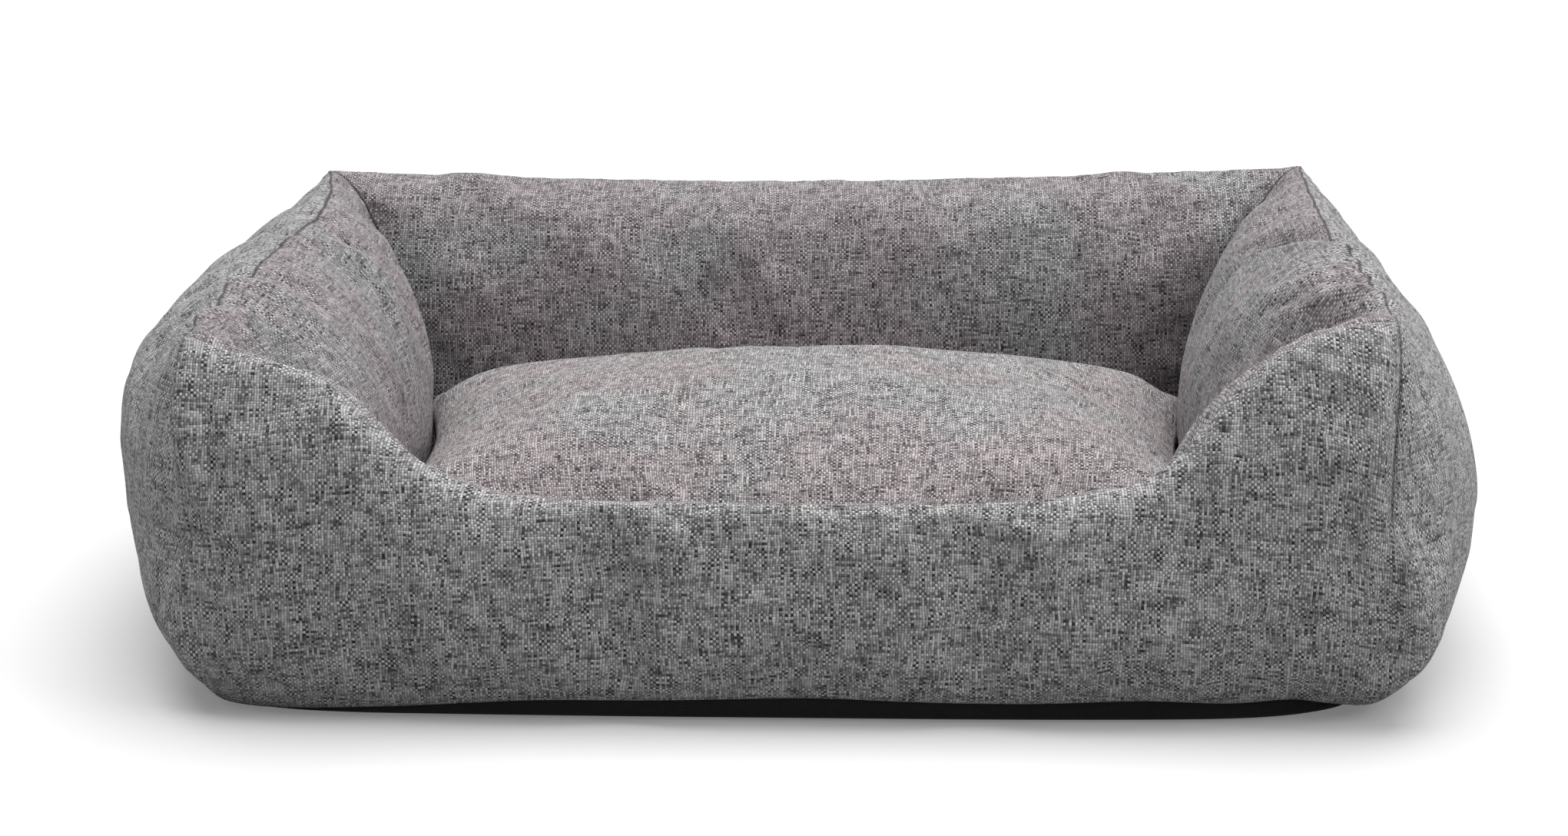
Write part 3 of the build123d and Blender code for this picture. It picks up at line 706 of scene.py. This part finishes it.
def panelGrid(wallName, side):
    # columns of one wall, with the first column of the next one, and the rows of one side
    start, count = columnStart[wallName], ringForm["columns"][wallName]
    picked = [(start + step) % columnCount for step in range(count + 1)]
    rows = slice(0, seamRow + 1) if side == "outer" else slice(seamRow, rowCount)
    _, lastPlace, lastStops, lastTotal = ringColumn(wallName, 1.0)
    places = np.array([*ringPlaces[start:start + count], lastPlace])
    stops = np.concatenate([ringLengths[start:start + count], lastStops[None]])
    totals = np.append(ringTotals[start:start + count], lastTotal)
    lengths = stops if side == "outer" else totals[:, None] - stops
    uvs = np.stack([places, lengths], axis=2)[:, rows]
    shares = np.linspace(-1, 1, count + 1)
    toRidge = np.abs(stops - stops[:, [seamRow]])
    # the painted shade line of a corner seam fades out low down, and where the cloth closes over it
    fadeFrom = np.array([[corners[walls[wallName]["ends"][int(share > 0)]]["lineLength"]] for share in shares])
    faded = ((toRidge - fadeFrom) / ringForm["lineFade"]).clip(0, 1) * ringForm["lineWidth"]
    toCorner = ((1 - np.abs(shares)) * walls[wallName]["run"])[:, None] + faded
    return ringPoints[picked][:, rows], uvs, np.stack([toCorner, toRidge], axis=2)[:, rows]


# the inner covers take the copies with painted shade and pink cast
sideCloths = {"outer": (wallCloth, frontRimHighlitCloth), "inner": (insideShadedCloth, frontInsideShadedRimHighlitCloth)}
for wallName in walls:
    for side, cloths in sideCloths.items():
        points, uvs, seams = panelGrid(wallName, side)
        piece = gridObject(f"{wallName}_{side}_cover", points, uvs, seams)
        addThickness(piece, ringForm["clothThickness"])
        finishPiece(piece, cloths[wallName == "front"], "bed", "wall_fabric", f"{wallName}_{side}_panel")

# Loose fibre inside each wall, a closed form that keeps clear of its cover
stuffing = {"clearance": 0.0032, "everyColumn": 2, "everyRow": 2, "endGap": 0.002}
inward = ringPoints - gridNormals(ringPoints) * stuffing["clearance"]
inward[:, :, 2] = inward[:, :, 2].clip(footHeight + stuffing["clearance"] / 2)
for wallName, wall in walls.items():
    start, count = columnStart[wallName], ringForm["columns"][wallName]
    picked = [(start + step) % columnCount for step in range(0, count + 1, stuffing["everyColumn"])]
    points = inward[picked][:, ::stuffing["everyRow"]].copy()
    alongWall = np.array([*wall["along"], 0])
    points[0] += alongWall * stuffing["endGap"]
    points[-1] -= alongWall * stuffing["endGap"]
    index = gridIndex(points)
    following = np.roll(index, -1, axis=1)
    faces = np.stack([index[:-1], index[1:], following[1:], following[:-1]], axis=-1).reshape(-1, 4).tolist()
    faces += [index[0].tolist(), index[-1][::-1].tolist()]
    piece = plainObject(f"{wallName}_stuffing", points, faces, smooth=True)
    finishPiece(piece, fibreStuff, "bed", "fibre_filling", f"{wallName}_filling")
print("walls made")


# The base: a thin black pan, its wadding, and the lining that covers it inside the walls

baseForm = {"tuck": 0.0012, "lip": 0.003, "roundRadius": 0.008, "roundSteps": 6, "insetSteps": 26,
            "clothThickness": 0.0008, "gripHeight": 0.0005, "wrinkle": 0.0005, "wrinkleSize": 0.07,
            "wrinkleFade": 8, "seed": 9, "evenPlan": 30, "evenHem": 2, "flatMargin": 0.02, "middleReach": 0.05}
footRing = ringPoints[:, 0]


def insetRing(plan, distance):
    # plan points moved in towards the middle, square to the outline
    along = np.roll(plan, -1, axis=0) - np.roll(plan, 1, axis=0)
    inwardStep = np.stack([-along[:, 1], along[:, 0]], axis=1)
    inwardStep /= np.linalg.norm(inwardStep, axis=1, keepdims=True)
    return plan + inwardStep * distance


def fillMiddle(piece):
    # closes the small hole that the innermost ring leaves
    work = bmesh.new()
    work.from_mesh(piece.data)
    rims = [edge for edge in work.edges if edge.is_boundary
            and all(math.hypot(v.co.x, v.co.y) < baseForm["middleReach"] for v in edge.verts)]
    made = bmesh.ops.contextual_create(work, geom=rims)
    bmesh.ops.poke(work, faces=made["faces"])
    work.to_mesh(piece.data)
    work.free()


def ringsObject(name, rings):
    # rings of points, one inside the other or one above the other, with their middle closed
    points = np.stack(rings, axis=1)
    uvs = np.stack([points[..., 0], points[..., 1] + points[..., 2]], axis=2)
    piece = gridObject(name, points, uvs, wrapColumns=True)
    fillMiddle(piece)
    return piece


basePlan = smoothAlong(insetRing(footRing[:, :2], baseForm["tuck"]), 0, baseForm["evenPlan"])
hemTop = smoothAlong(footRing[:, 2], 0, baseForm["evenHem"])
baseBottom = baseForm["gripHeight"] + baseForm["clothThickness"]
rings = [np.column_stack([basePlan, hemTop + baseForm["lip"]]), np.column_stack([basePlan, hemTop])]
for angle in np.linspace(0, math.pi / 2, baseForm["roundSteps"] + 1)[1:]:
    flatEdge = insetRing(basePlan, (1 - math.cos(angle)) * baseForm["roundRadius"])
    rings.append(np.column_stack([flatEdge, hemTop - (hemTop - baseBottom) * math.sin(angle)]))
for share in np.linspace(0, 1, baseForm["insetSteps"] + 1)[1:-1]:
    plan = flatEdge * (1 - share)
    ripple = baseForm["wrinkle"] * (1 + flatNoise(plan, baseForm["wrinkleSize"], baseForm["seed"])) / 2
    rings.append(np.column_stack([plan, baseBottom + ripple * min(share * baseForm["wrinkleFade"], 1)]))
basePiece = ringsObject("base_cover", rings[::-1])
addThickness(basePiece, -baseForm["clothThickness"], levels=0)
finishPiece(basePiece, baseCloth, "bed", "base_fabric", "base_panel")

slabForm = {"middle": 0.97, "edge": 0.03, "steps": 18, "rippleSize": 0.05, "rippleFade": 12}


def slabPiece(name, plan, low, high, ripple, seed):
    # a closed pad with a rounded edge between two heights, from its outline in plan
    outwards = np.linspace(slabForm["middle"], slabForm["edge"], slabForm["steps"])
    shares = [*outwards, 0.0, *outwards[::-1]]
    levels = [low] * len(outwards) + [(low + high) / 2] + [high] * len(outwards)
    rings = []
    for share, level in zip(shares, levels):
        ring = plan * (1 - share)
        heights = np.full(len(ring), level)
        if level == high:
            heights += ripple * flatNoise(ring, slabForm["rippleSize"], seed) * min(share * slabForm["rippleFade"], 1)
        rings.append(np.column_stack([ring, heights]))
    return ringsObject(name, rings)


padForm = {"inset": 0.0035, "below": 0.0014, "above": 0.0012, "ripple": 0.0003}
padPlan = insetRing(basePlan, padForm["inset"])[::2]
wadding = slabPiece("base_wadding", padPlan, baseBottom + padForm["below"], footHeight - padForm["above"],
                    padForm["ripple"], 3)
finishPiece(wadding, waddingStuff, "bed", "wadding", "base_pad")

floorForm = {"inset": 0.0016, "evenPlan": 6, "thickness": 0.0012, "ripple": 0.0002}
floorPlan = smoothAlong(insetRing(ringPoints[:, -1, :2], floorForm["inset"]), 0, floorForm["evenPlan"])[::2]
floorPiece = slabPiece("floor_lining", floorPlan, floorTop - floorForm["thickness"], floorTop, floorForm["ripple"], 4)
finishPiece(floorPiece, liningCloth, "bed", "lining_fabric", "floor_panel")
print("base made")


# The loose cushion: two panels sewn round their edge, over loose fibre

cushionLow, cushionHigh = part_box("cushion_bottom_panel")[0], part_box("cushion_top_panel")[1]
cushion = {
    "halfWidth": cushionHigh.x + 0.024, "halfDepth": cushionHigh.y, "seamHeight": 0.073, "bottom": cushionLow.z,
    "top": cushionHigh.z, "cells": (84, 66), "fullness": 1.82, "edgeSquareness": 10.0, "topSquareness": 2.2,
    "squareReach": 5.5, "draw": (0.026, 0.004), "clothThickness": 0.0012,
    "under": ((0.985, 0.026), (0.95, 0.0155), (0.89, 0.006), (0.80, 0.0)), "underReach": 0.19, "evenUnder": 5,
    "lump": 0.0022, "lumpSize": 0.15, "lumpFade": 6, "seed": 31, "samples": (61, 121), "flatMiddle": 0.05,
}


def cushionProfile(onTop):
    # outline share and height from the seam to the middle, with lengths
    if onTop:
        angles = np.linspace(0, math.pi / 2, cushion["samples"][0])
        power = 2 / cushion["fullness"]
        share = np.cos(angles).clip(0) ** power
        height = cushion["seamHeight"] + (cushion["top"] - cushion["seamHeight"]) * np.sin(angles) ** power
    else:
        outline, level = np.array(cushion["under"]).T
        share = np.array([1.0, *outline, 0.0])
        height = cushion["bottom"] + np.array([cushion["seamHeight"] - cushion["bottom"], *level, 0.0])
        steps = linePlaces(share * cushion["underReach"], height)
        places = np.linspace(0, steps[-1], cushion["samples"][1])
        line = np.stack([np.interp(places, steps, part) for part in (share, height)])
        for _ in range(cushion["evenUnder"]):
            line[:, 1:-1] = (line[:, :-2] + 2 * line[:, 1:-1] + line[:, 2:]) / 4
        share, height = line
    return share, height, linePlaces(share * cushion["halfDepth"], height)


# places across and along the cushion's panels, and how far out each is, as shares of the half sizes
a, b = np.meshgrid(*(np.linspace(-1, 1, count + 1) for count in cushion["cells"]), indexing="ij")
squareRadius = np.maximum(np.abs(a), np.abs(b))


def cushionPanel(onTop):
    # points of a panel, and how far its planar cloth coordinates open out where the sides fall away
    share, height, lengths = cushionProfile(onTop)
    inward = (1 - squareRadius) * lengths[-1]
    outline, level = np.interp(inward, lengths, share), np.interp(inward, lengths, height)
    extra = (cushion["edgeSquareness"] - cushion["topSquareness"]) * outline ** cushion["squareReach"]
    squareness = cushion["topSquareness"] + extra
    unitA, unitB = (np.abs(part) / squareRadius.clip(1e-9) for part in (a, b))
    norm = ((unitA ** squareness + unitB ** squareness) ** (1 / squareness)).clip(1e-9)
    coordinates = []
    for part, unit, other, half, draw in ((a, unitA, unitB, cushion["halfWidth"], cushion["draw"][0]),
                                          (b, unitB, unitA, cushion["halfDepth"], cushion["draw"][1])):
        bow = 1 - draw / half * (1 - other ** 2) * (unit >= other)
        coordinates.append(half * outline * np.sign(part) * unit / norm * bow)
    stretch = (lengths[-1] - inward) / (outline * cushion["halfDepth"]).clip(1e-6)
    return np.stack([*coordinates, level], axis=2), np.where(outline < cushion["flatMiddle"], 1.0, stretch)[..., None]


topPoints, topStretch = cushionPanel(True)
bottomPoints, bottomStretch = cushionPanel(False)
lump = cushion["lump"] * smoothNoise(topPoints, cushion["lumpSize"], cushion["seed"])
lump *= 1 - squareRadius ** cushion["lumpFade"]
topPoints += gridNormals(topPoints, False) * lump[:, :, None]
topUvs = topPoints[..., :2] * topStretch
bottomUvs = bottomPoints[..., :2] * bottomStretch

# The zip's slanted flat, from the tapes
tapeCentres = [(low + high) / 2 for low, high in map(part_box, ("zip_tape_upper", "zip_tape_lower"))]
upSlope = Vector(next(joint["axis"] for joint in frame["joints"] if joint["name"] == "pull_swing"))
zipOutward = Vector((0, upSlope.z, -upSlope.y))
slot = {"tapeThickness": 0.0006, "width": 0.0096, "endRoom": 0.0024, "halfDepth": 0.004}
zipMiddle = (tapeCentres[0] + tapeCentres[1]) / 2 - zipOutward * slot["tapeThickness"] / 2
zipHalfLength = (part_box("zip_coil_upper")[1].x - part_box("zip_coil_upper")[0].x) / 2


def flattenAtZip(points, lift):
    # whatever stands out of the zip's plane is laid onto it
    beyond = (points - np.array(zipMiddle)) @ np.array(zipOutward) - lift
    return points - np.maximum(beyond, 0)[..., None] * np.array(zipOutward)


def cushionShell(top, bottom):
    # both grids as one closed sheet: the bottom without its edge, mirrored to face out
    index = gridIndex(top)
    under = index + index.size
    under[0, :], under[-1, :], under[:, 0], under[:, -1] = index[0, :], index[-1, :], index[:, 0], index[:, -1]
    faces = []
    for grid, turned in ((index, False), (under, True)):
        quads = np.stack([grid[:-1, :-1], grid[1:, :-1], grid[1:, 1:], grid[:-1, 1:]], axis=-1).reshape(-1, 4)
        faces += [tuple(quad[::-1]) if turned else tuple(quad) for quad in quads.tolist()]
    return np.concatenate([top.reshape(-1, 3), bottom.reshape(-1, 3)]), faces, index


points, faces, index = cushionShell(topPoints, bottomPoints)
edge = np.unique(np.concatenate([index[0], index[-1], index[:, 0], index[:, -1]]))
pins = edge.tolist() + (index.ravel() + index.size).tolist()
shift = relaxCloth("cushion", points, faces, pins)[:index.size].reshape(topPoints.shape)
topPoints = topPoints + clothDetail("cushion", shift)
print("cushion cloth settled")

topPiece = addThickness(gridObject("cushion_top_cover", topPoints, topUvs), cushion["clothThickness"])
finishPiece(topPiece, cushionCloth, "cushion", "cushion_fabric", "cushion_top_panel")

bottomPoints = flattenAtZip(bottomPoints, 0.0)
bottomPiece = gridObject("cushion_bottom_cover", bottomPoints[::-1], bottomUvs[::-1])
addThickness(bottomPiece, cushion["clothThickness"])


def boxObject(name, centre, halfSizes, axes):
    signs = [(i, j, k) for i in (-1, 1) for j in (-1, 1) for k in (-1, 1)]
    points = np.array(centre) + np.array(signs) * halfSizes @ np.array(axes)
    faces = [(0, 1, 3, 2), (4, 6, 7, 5), (0, 4, 5, 1), (2, 3, 7, 6), (0, 2, 6, 4), (1, 5, 7, 3)]
    return plainObject(name, points, faces)


# The slot in the bottom cover, through which the slider's back plate runs
slotCutter = boxObject("slotCutter", zipMiddle, (zipHalfLength + slot["endRoom"], slot["width"] / 2, slot["halfDepth"]),
                       (Vector((1, 0, 0)), upSlope, -zipOutward))
cut = bottomPiece.modifiers.new("slot", "BOOLEAN")
cut.operation = "DIFFERENCE"
cut.solver = "EXACT"
cut.object = slotCutter
slotted = evaluatedMesh(bottomPiece)
bottomPiece.modifiers.clear()
bottomPiece.data = slotted
bpy.data.objects.remove(slotCutter)
finishPiece(bottomPiece, cushionCloth, "cushion", "cushion_fabric", "cushion_bottom_panel")

# The cushion's loose fibre, drawn in from its covers and further at the zip
fibre = {"clearance": 0.003, "behindZip": 0.0045, "narrowed": 0.985, "every": 2}
stuffTop = topPoints - gridNormals(topPoints, False) * fibre["clearance"]
stuffBottom = bottomPoints + gridNormals(bottomPoints, False) * fibre["clearance"]
stuffTop, stuffBottom = (grid[::fibre["every"], ::fibre["every"]] * (fibre["narrowed"], fibre["narrowed"], 1.0)
                         for grid in (stuffTop, flattenAtZip(stuffBottom, -fibre["behindZip"])))
stuffPoints, stuffFaces, _ = cushionShell(stuffTop, stuffBottom)
used = sorted({i for face in stuffFaces for i in face})
renumber = {old: new for new, old in enumerate(used)}
stuffFaces = [[renumber[i] for i in face] for face in stuffFaces]
stuffPiece = plainObject("cushion_stuffing", stuffPoints[used], stuffFaces, smooth=True)
finishPiece(stuffPiece, fibreStuff, "cushion", "fibre_filling", "cushion_filling")
print("cushion made")


# What repeats is made by geometry nodes: stitches, coil teeth and grip dots

def finishRepeats(tree, points, instance, material, result, **placed):
    # one instance on each point, realized and painted
    made = addNode(tree, "GeometryNodeInstanceOnPoints", inputs={
        "Points": points, "Instance": instance, **placed}).outputs[0]
    solid = addNode(tree, "GeometryNodeRealizeInstances", inputs={0: made}).outputs[0]
    painted = addNode(tree, "GeometryNodeSetMaterial", inputs={"Geometry": solid, "Material": material})
    tree.links.new(painted.outputs[0], result["Geometry"])
    return tree


def randomNode(tree, low, high, seed):
    return addNode(tree, "FunctionNodeRandomValue", data_type="FLOAT",
                   inputs={2: low, 3: high, "Seed": seed}).outputs[1]


def makeAlongPathTree():
    # short rods along a path, one every spacing
    tree, given, result = newGroup("rodsAlongPath", "GeometryNodeTree", {
        "Path": "Geometry", "Spacing": 0.003, "Rod Length": 0.0022, "Rod Radius": 0.0003, "Sides": 6, "Turn": 0.0,
        "Roll": 0.0, "Widening": 1.0, "Jitter": 0.09, "Material": "Material", "Seed": 1}, {"Geometry": "Geometry"})
    curve = addNode(tree, "GeometryNodeMeshToCurve", inputs={"Mesh": given["Path"]}).outputs[0]
    spaced = addNode(tree, "GeometryNodeResampleCurve", mode="LENGTH",
                     inputs={"Curve": curve, "Length": given["Spacing"]}).outputs[0]
    tangent = addNode(tree, "GeometryNodeInputTangent").outputs[0]
    turned = addNode(tree, "FunctionNodeAlignRotationToVector", axis="Z", inputs={"Vector": tangent}).outputs[0]
    jitter = mathNode(tree, "MULTIPLY", randomNode(tree, -1.0, 1.0, given["Seed"]), given["Jitter"])
    leaning = addNode(tree, "FunctionNodeEulerToRotation", inputs={
        0: joinNode(tree, jitter, given["Turn"], given["Roll"])}).outputs[0]
    both = addNode(tree, "FunctionNodeRotateRotation", rotation_space="LOCAL",
                   inputs={0: turned, 1: leaning}).outputs[0]
    rod = addNode(tree, "GeometryNodeMeshCylinder", fill_type="NGON", inputs={
        "Vertices": given["Sides"], "Radius": given["Rod Radius"], "Depth": given["Rod Length"]}).outputs[0]
    return finishRepeats(tree, spaced, rod, given["Material"], result,
                         Rotation=both, Scale=joinNode(tree, 1.0, given["Widening"], 1.0))


def makeDotTree():
    # small domes on the points of a flat grid, inside the outline that the points were cut to
    tree, given, result = newGroup("domesOnPoints", "GeometryNodeTree", {
        "Points": "Geometry", "Radius": 0.0012, "Height": 0.0005, "Sides": 8, "Rings": 4, "Least": 0.9, "Most": 1.1,
        "Material": "Material", "Seed": 1}, {"Geometry": "Geometry"})
    ball = addNode(tree, "GeometryNodeMeshUVSphere", inputs={
        "Segments": given["Sides"], "Rings": given["Rings"], "Radius": given["Radius"]}).outputs[0]
    flatness = mathNode(tree, "DIVIDE", given["Height"], given["Radius"])
    size = randomNode(tree, given["Least"], given["Most"], given["Seed"])
    return finishRepeats(tree, given["Points"], ball, given["Material"], result,
                         Scale=joinNode(tree, size, size, flatness))


rodTree = makeAlongPathTree()
dotTree = makeDotTree()


def runTree(name, tree, points, edges, values, body, slot, *replaced):
    carrier = plainObject(name + "Source", points, [], edges)
    nodesModifier = carrier.modifiers.new("nodes", "NODES")
    nodesModifier.node_group = tree
    for item in tree.interface.items_tree:
        if item.in_out == "INPUT" and item.name in values:
            nodesModifier[item.identifier] = values[item.name]
    made = evaluatedMesh(carrier)
    bpy.data.objects.remove(carrier)
    made.name = name
    return declarePiece(linkObject(name, made), body, slot, *replaced)


# A run's values stand under the names of its tree's inputs
stitches = {"Spacing": 0.0034, "Rod Length": 0.0026, "Rod Radius": 0.00028, "Material": seamThread, "Seed": 3,
            "sink": 0.0002}
ridgeLine = ringPoints[:, seamRow] - gridNormals(ringPoints)[:, seamRow] * stitches["sink"]
ridgeEdges = [(i, (i + 1) % columnCount) for i in range(columnCount)]
runTree("ridge_stitches", rodTree, ridgeLine, ridgeEdges, stitches, "bed", "wall_fabric")

zipStitches = {"Spacing": 0.0028, "Rod Length": 0.0021, "Rod Radius": 0.0002, "Material": seamThread, "Seed": 5,
               "offset": 0.0108, "inset": 0.003, "lift": 0.0007}
zipPoints = [zipMiddle + upSlope * side * zipStitches["offset"] + zipOutward * zipStitches["lift"]
             + Vector((end * (zipHalfLength + zipStitches["inset"]), 0, 0)) for side in (-1, 1) for end in (-1, 1)]
runTree("zip_stitches", rodTree, zipPoints, [(0, 1), (2, 3)], zipStitches, "cushion", "cushion_fabric")

# Each coil's turns lie across the chain, in the room of the bar that stands for them
teeth = {"Spacing": 0.0011, "Rod Length": 0.0017, "Rod Radius": 0.0005, "Sides": 8, "Turn": math.pi / 2,
         "Roll": math.pi / 4, "Widening": 1.7, "Jitter": 0.0, "Material": coilNylon, "Seed": 9}
for rowName in ("upper", "lower"):
    low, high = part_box(f"zip_coil_{rowName}")
    middle = (low + high) / 2
    path = [(end, middle.y, middle.z) for end in (low.x + teeth["Spacing"] / 2, high.x - teeth["Spacing"] / 2)]
    runTree(f"coil_turns_{rowName}", rodTree, path, [(0, 1)], teeth, "cushion", "zip_coil", f"zip_coil_{rowName}")

grip = {"Radius": 0.0013, "Height": baseForm["gripHeight"], "Material": gripRubber, "Seed": 7,
        "pitch": 0.009, "margin": 0.014, "rows": 30, "columns": 36}
gripPlan = insetRing(flatEdge, grip["margin"])
gripAngles = np.arctan2(gripPlan[:, 1], gripPlan[:, 0])
gripOrder = np.argsort(gripAngles)
gripReach = np.hypot(*gripPlan.T)
dotPlaces = []
for row in range(-grip["rows"], grip["rows"] + 1):
    for column in range(-grip["columns"], grip["columns"] + 1):
        x = (column + 0.5 * (row % 2)) * grip["pitch"]
        y = row * grip["pitch"] * math.sqrt(3) / 2
        limit = np.interp(math.atan2(y, x), gripAngles[gripOrder], gripReach[gripOrder])
        if math.hypot(x, y) < limit:
            dotPlaces.append((x, y, grip["Height"]))
runTree("grip_dots", dotTree, dotPlaces, [], grip, "bed", "base_fabric")
print("stitches and grip dots made")


# Carried-over nodes of the zip get their finishes
for name, material in (("zip_tape_upper", tapeCloth), ("zip_tape_lower", tapeCloth),
                       ("zip_end_stops", zipEnamel), ("zip_slider", zipEnamel), ("zip_pull", zipEnamel)):
    nodes[name].data.materials.clear()
    nodes[name].data.materials.append(material)


# Studio: a plain pale floor, soft light from above and the right, and the photograph's camera

studio = {"floorHalf": 9.0, "floorBounce": 0.42, "floorSeen": 0.80, "floorGlow": 0.17, "worldLight": 0.18,
          "skyStrength": 2.95, "skySpread": 62.0, "skyFrom": (0.02, 0.20, 1.0), "sidePower": 8.0,
          "sideFrom": (1.3, -0.9, 1.3), "sideAt": (0.1, 0, 0.1), "sideSize": 1.0}


def seenDirectly(tree):
    # 1 for rays that end in the picture straight away or through a mirror or glass
    rays = addNode(tree, "ShaderNodeLightPath").outputs
    direct = mathNode(tree, "ADD", rays["Is Camera Ray"], rays["Is Glossy Ray"])
    return mathNode(tree, "ADD", direct, rays["Is Transmission Ray"], clamp=True)


def mixShaders(tree, factor, first, second, kind):
    mixed = addNode(tree, "ShaderNodeMixShader", inputs={0: factor, 1: first.outputs[0], 2: second.outputs[0]})
    addNode(tree, kind, inputs={"Surface": mixed.outputs[0]})


def grey(level):
    return (level, level, level, 1)


def makeFloor():
    half = studio["floorHalf"]
    cornerPlaces = [(-half, -half, 0), (half, -half, 0), (half, half, 0), (-half, half, 0)]
    floor = plainObject("floor", cornerPlaces, [(0, 1, 2, 3)])
    material = bpy.data.materials.new("paleFloor")
    material.use_nodes = True
    tree = material.node_tree
    tree.nodes.clear()
    plain, shadowed = (addNode(tree, "ShaderNodeBsdfDiffuse", inputs={"Color": grey(studio[level])})
                       for level in ("floorBounce", "floorSeen"))
    glow = addNode(tree, "ShaderNodeEmission", inputs={"Color": grey(1), "Strength": studio["floorGlow"]})
    bright = addNode(tree, "ShaderNodeAddShader", inputs={0: shadowed.outputs[0], 1: glow.outputs[0]})
    mixShaders(tree, seenDirectly(tree), plain, bright, "ShaderNodeOutputMaterial")
    floor.data.materials.append(material)


def makeWorld():
    world = bpy.data.worlds.new("studioWorld")
    bpy.context.scene.world = world
    world.use_nodes = True
    tree = world.node_tree
    tree.nodes.clear()
    soft, white = (addNode(tree, "ShaderNodeBackground", inputs={"Color": grey(1), "Strength": strength})
                   for strength in (studio["worldLight"], 1.0))
    mixShaders(tree, seenDirectly(tree), soft, white, "ShaderNodeOutputWorld")


def makeLamp(name, kind, place, target, strength):
    light = bpy.data.lights.new(name, kind)
    light.energy = strength
    lamp = linkObject(name, light)
    lamp.location = place
    lamp.rotation_euler = (Vector(target) - Vector(place)).to_track_quat("-Z", "Y").to_euler()
    return light


makeFloor()
makeWorld()
skyLight = makeLamp("skyLight", "SUN", studio["skyFrom"], (0, 0, 0), studio["skyStrength"])
skyLight.angle = math.radians(studio["skySpread"])
sideLight = makeLamp("sideLight", "AREA", studio["sideFrom"], studio["sideAt"], studio["sidePower"])
sideLight.size = studio["sideSize"]

photoCamera = {"place": (0.053, -1.964, 0.544), "pitchDown": 12.8, "pan": 1.83, "lens": 85.0, "sensor": 36.0}
cameraData = bpy.data.cameras.new("photoCamera")
cameraData.lens = photoCamera["lens"]
cameraData.sensor_width = photoCamera["sensor"]
camera = linkObject("photoCamera", cameraData)
camera.location = photoCamera["place"]
camera.rotation_euler = (math.radians(90 - photoCamera["pitchDown"]), 0, math.radians(photoCamera["pan"]))
bpy.context.scene.camera = camera
bpy.context.scene.view_settings.view_transform = "Standard"
print("studio made")
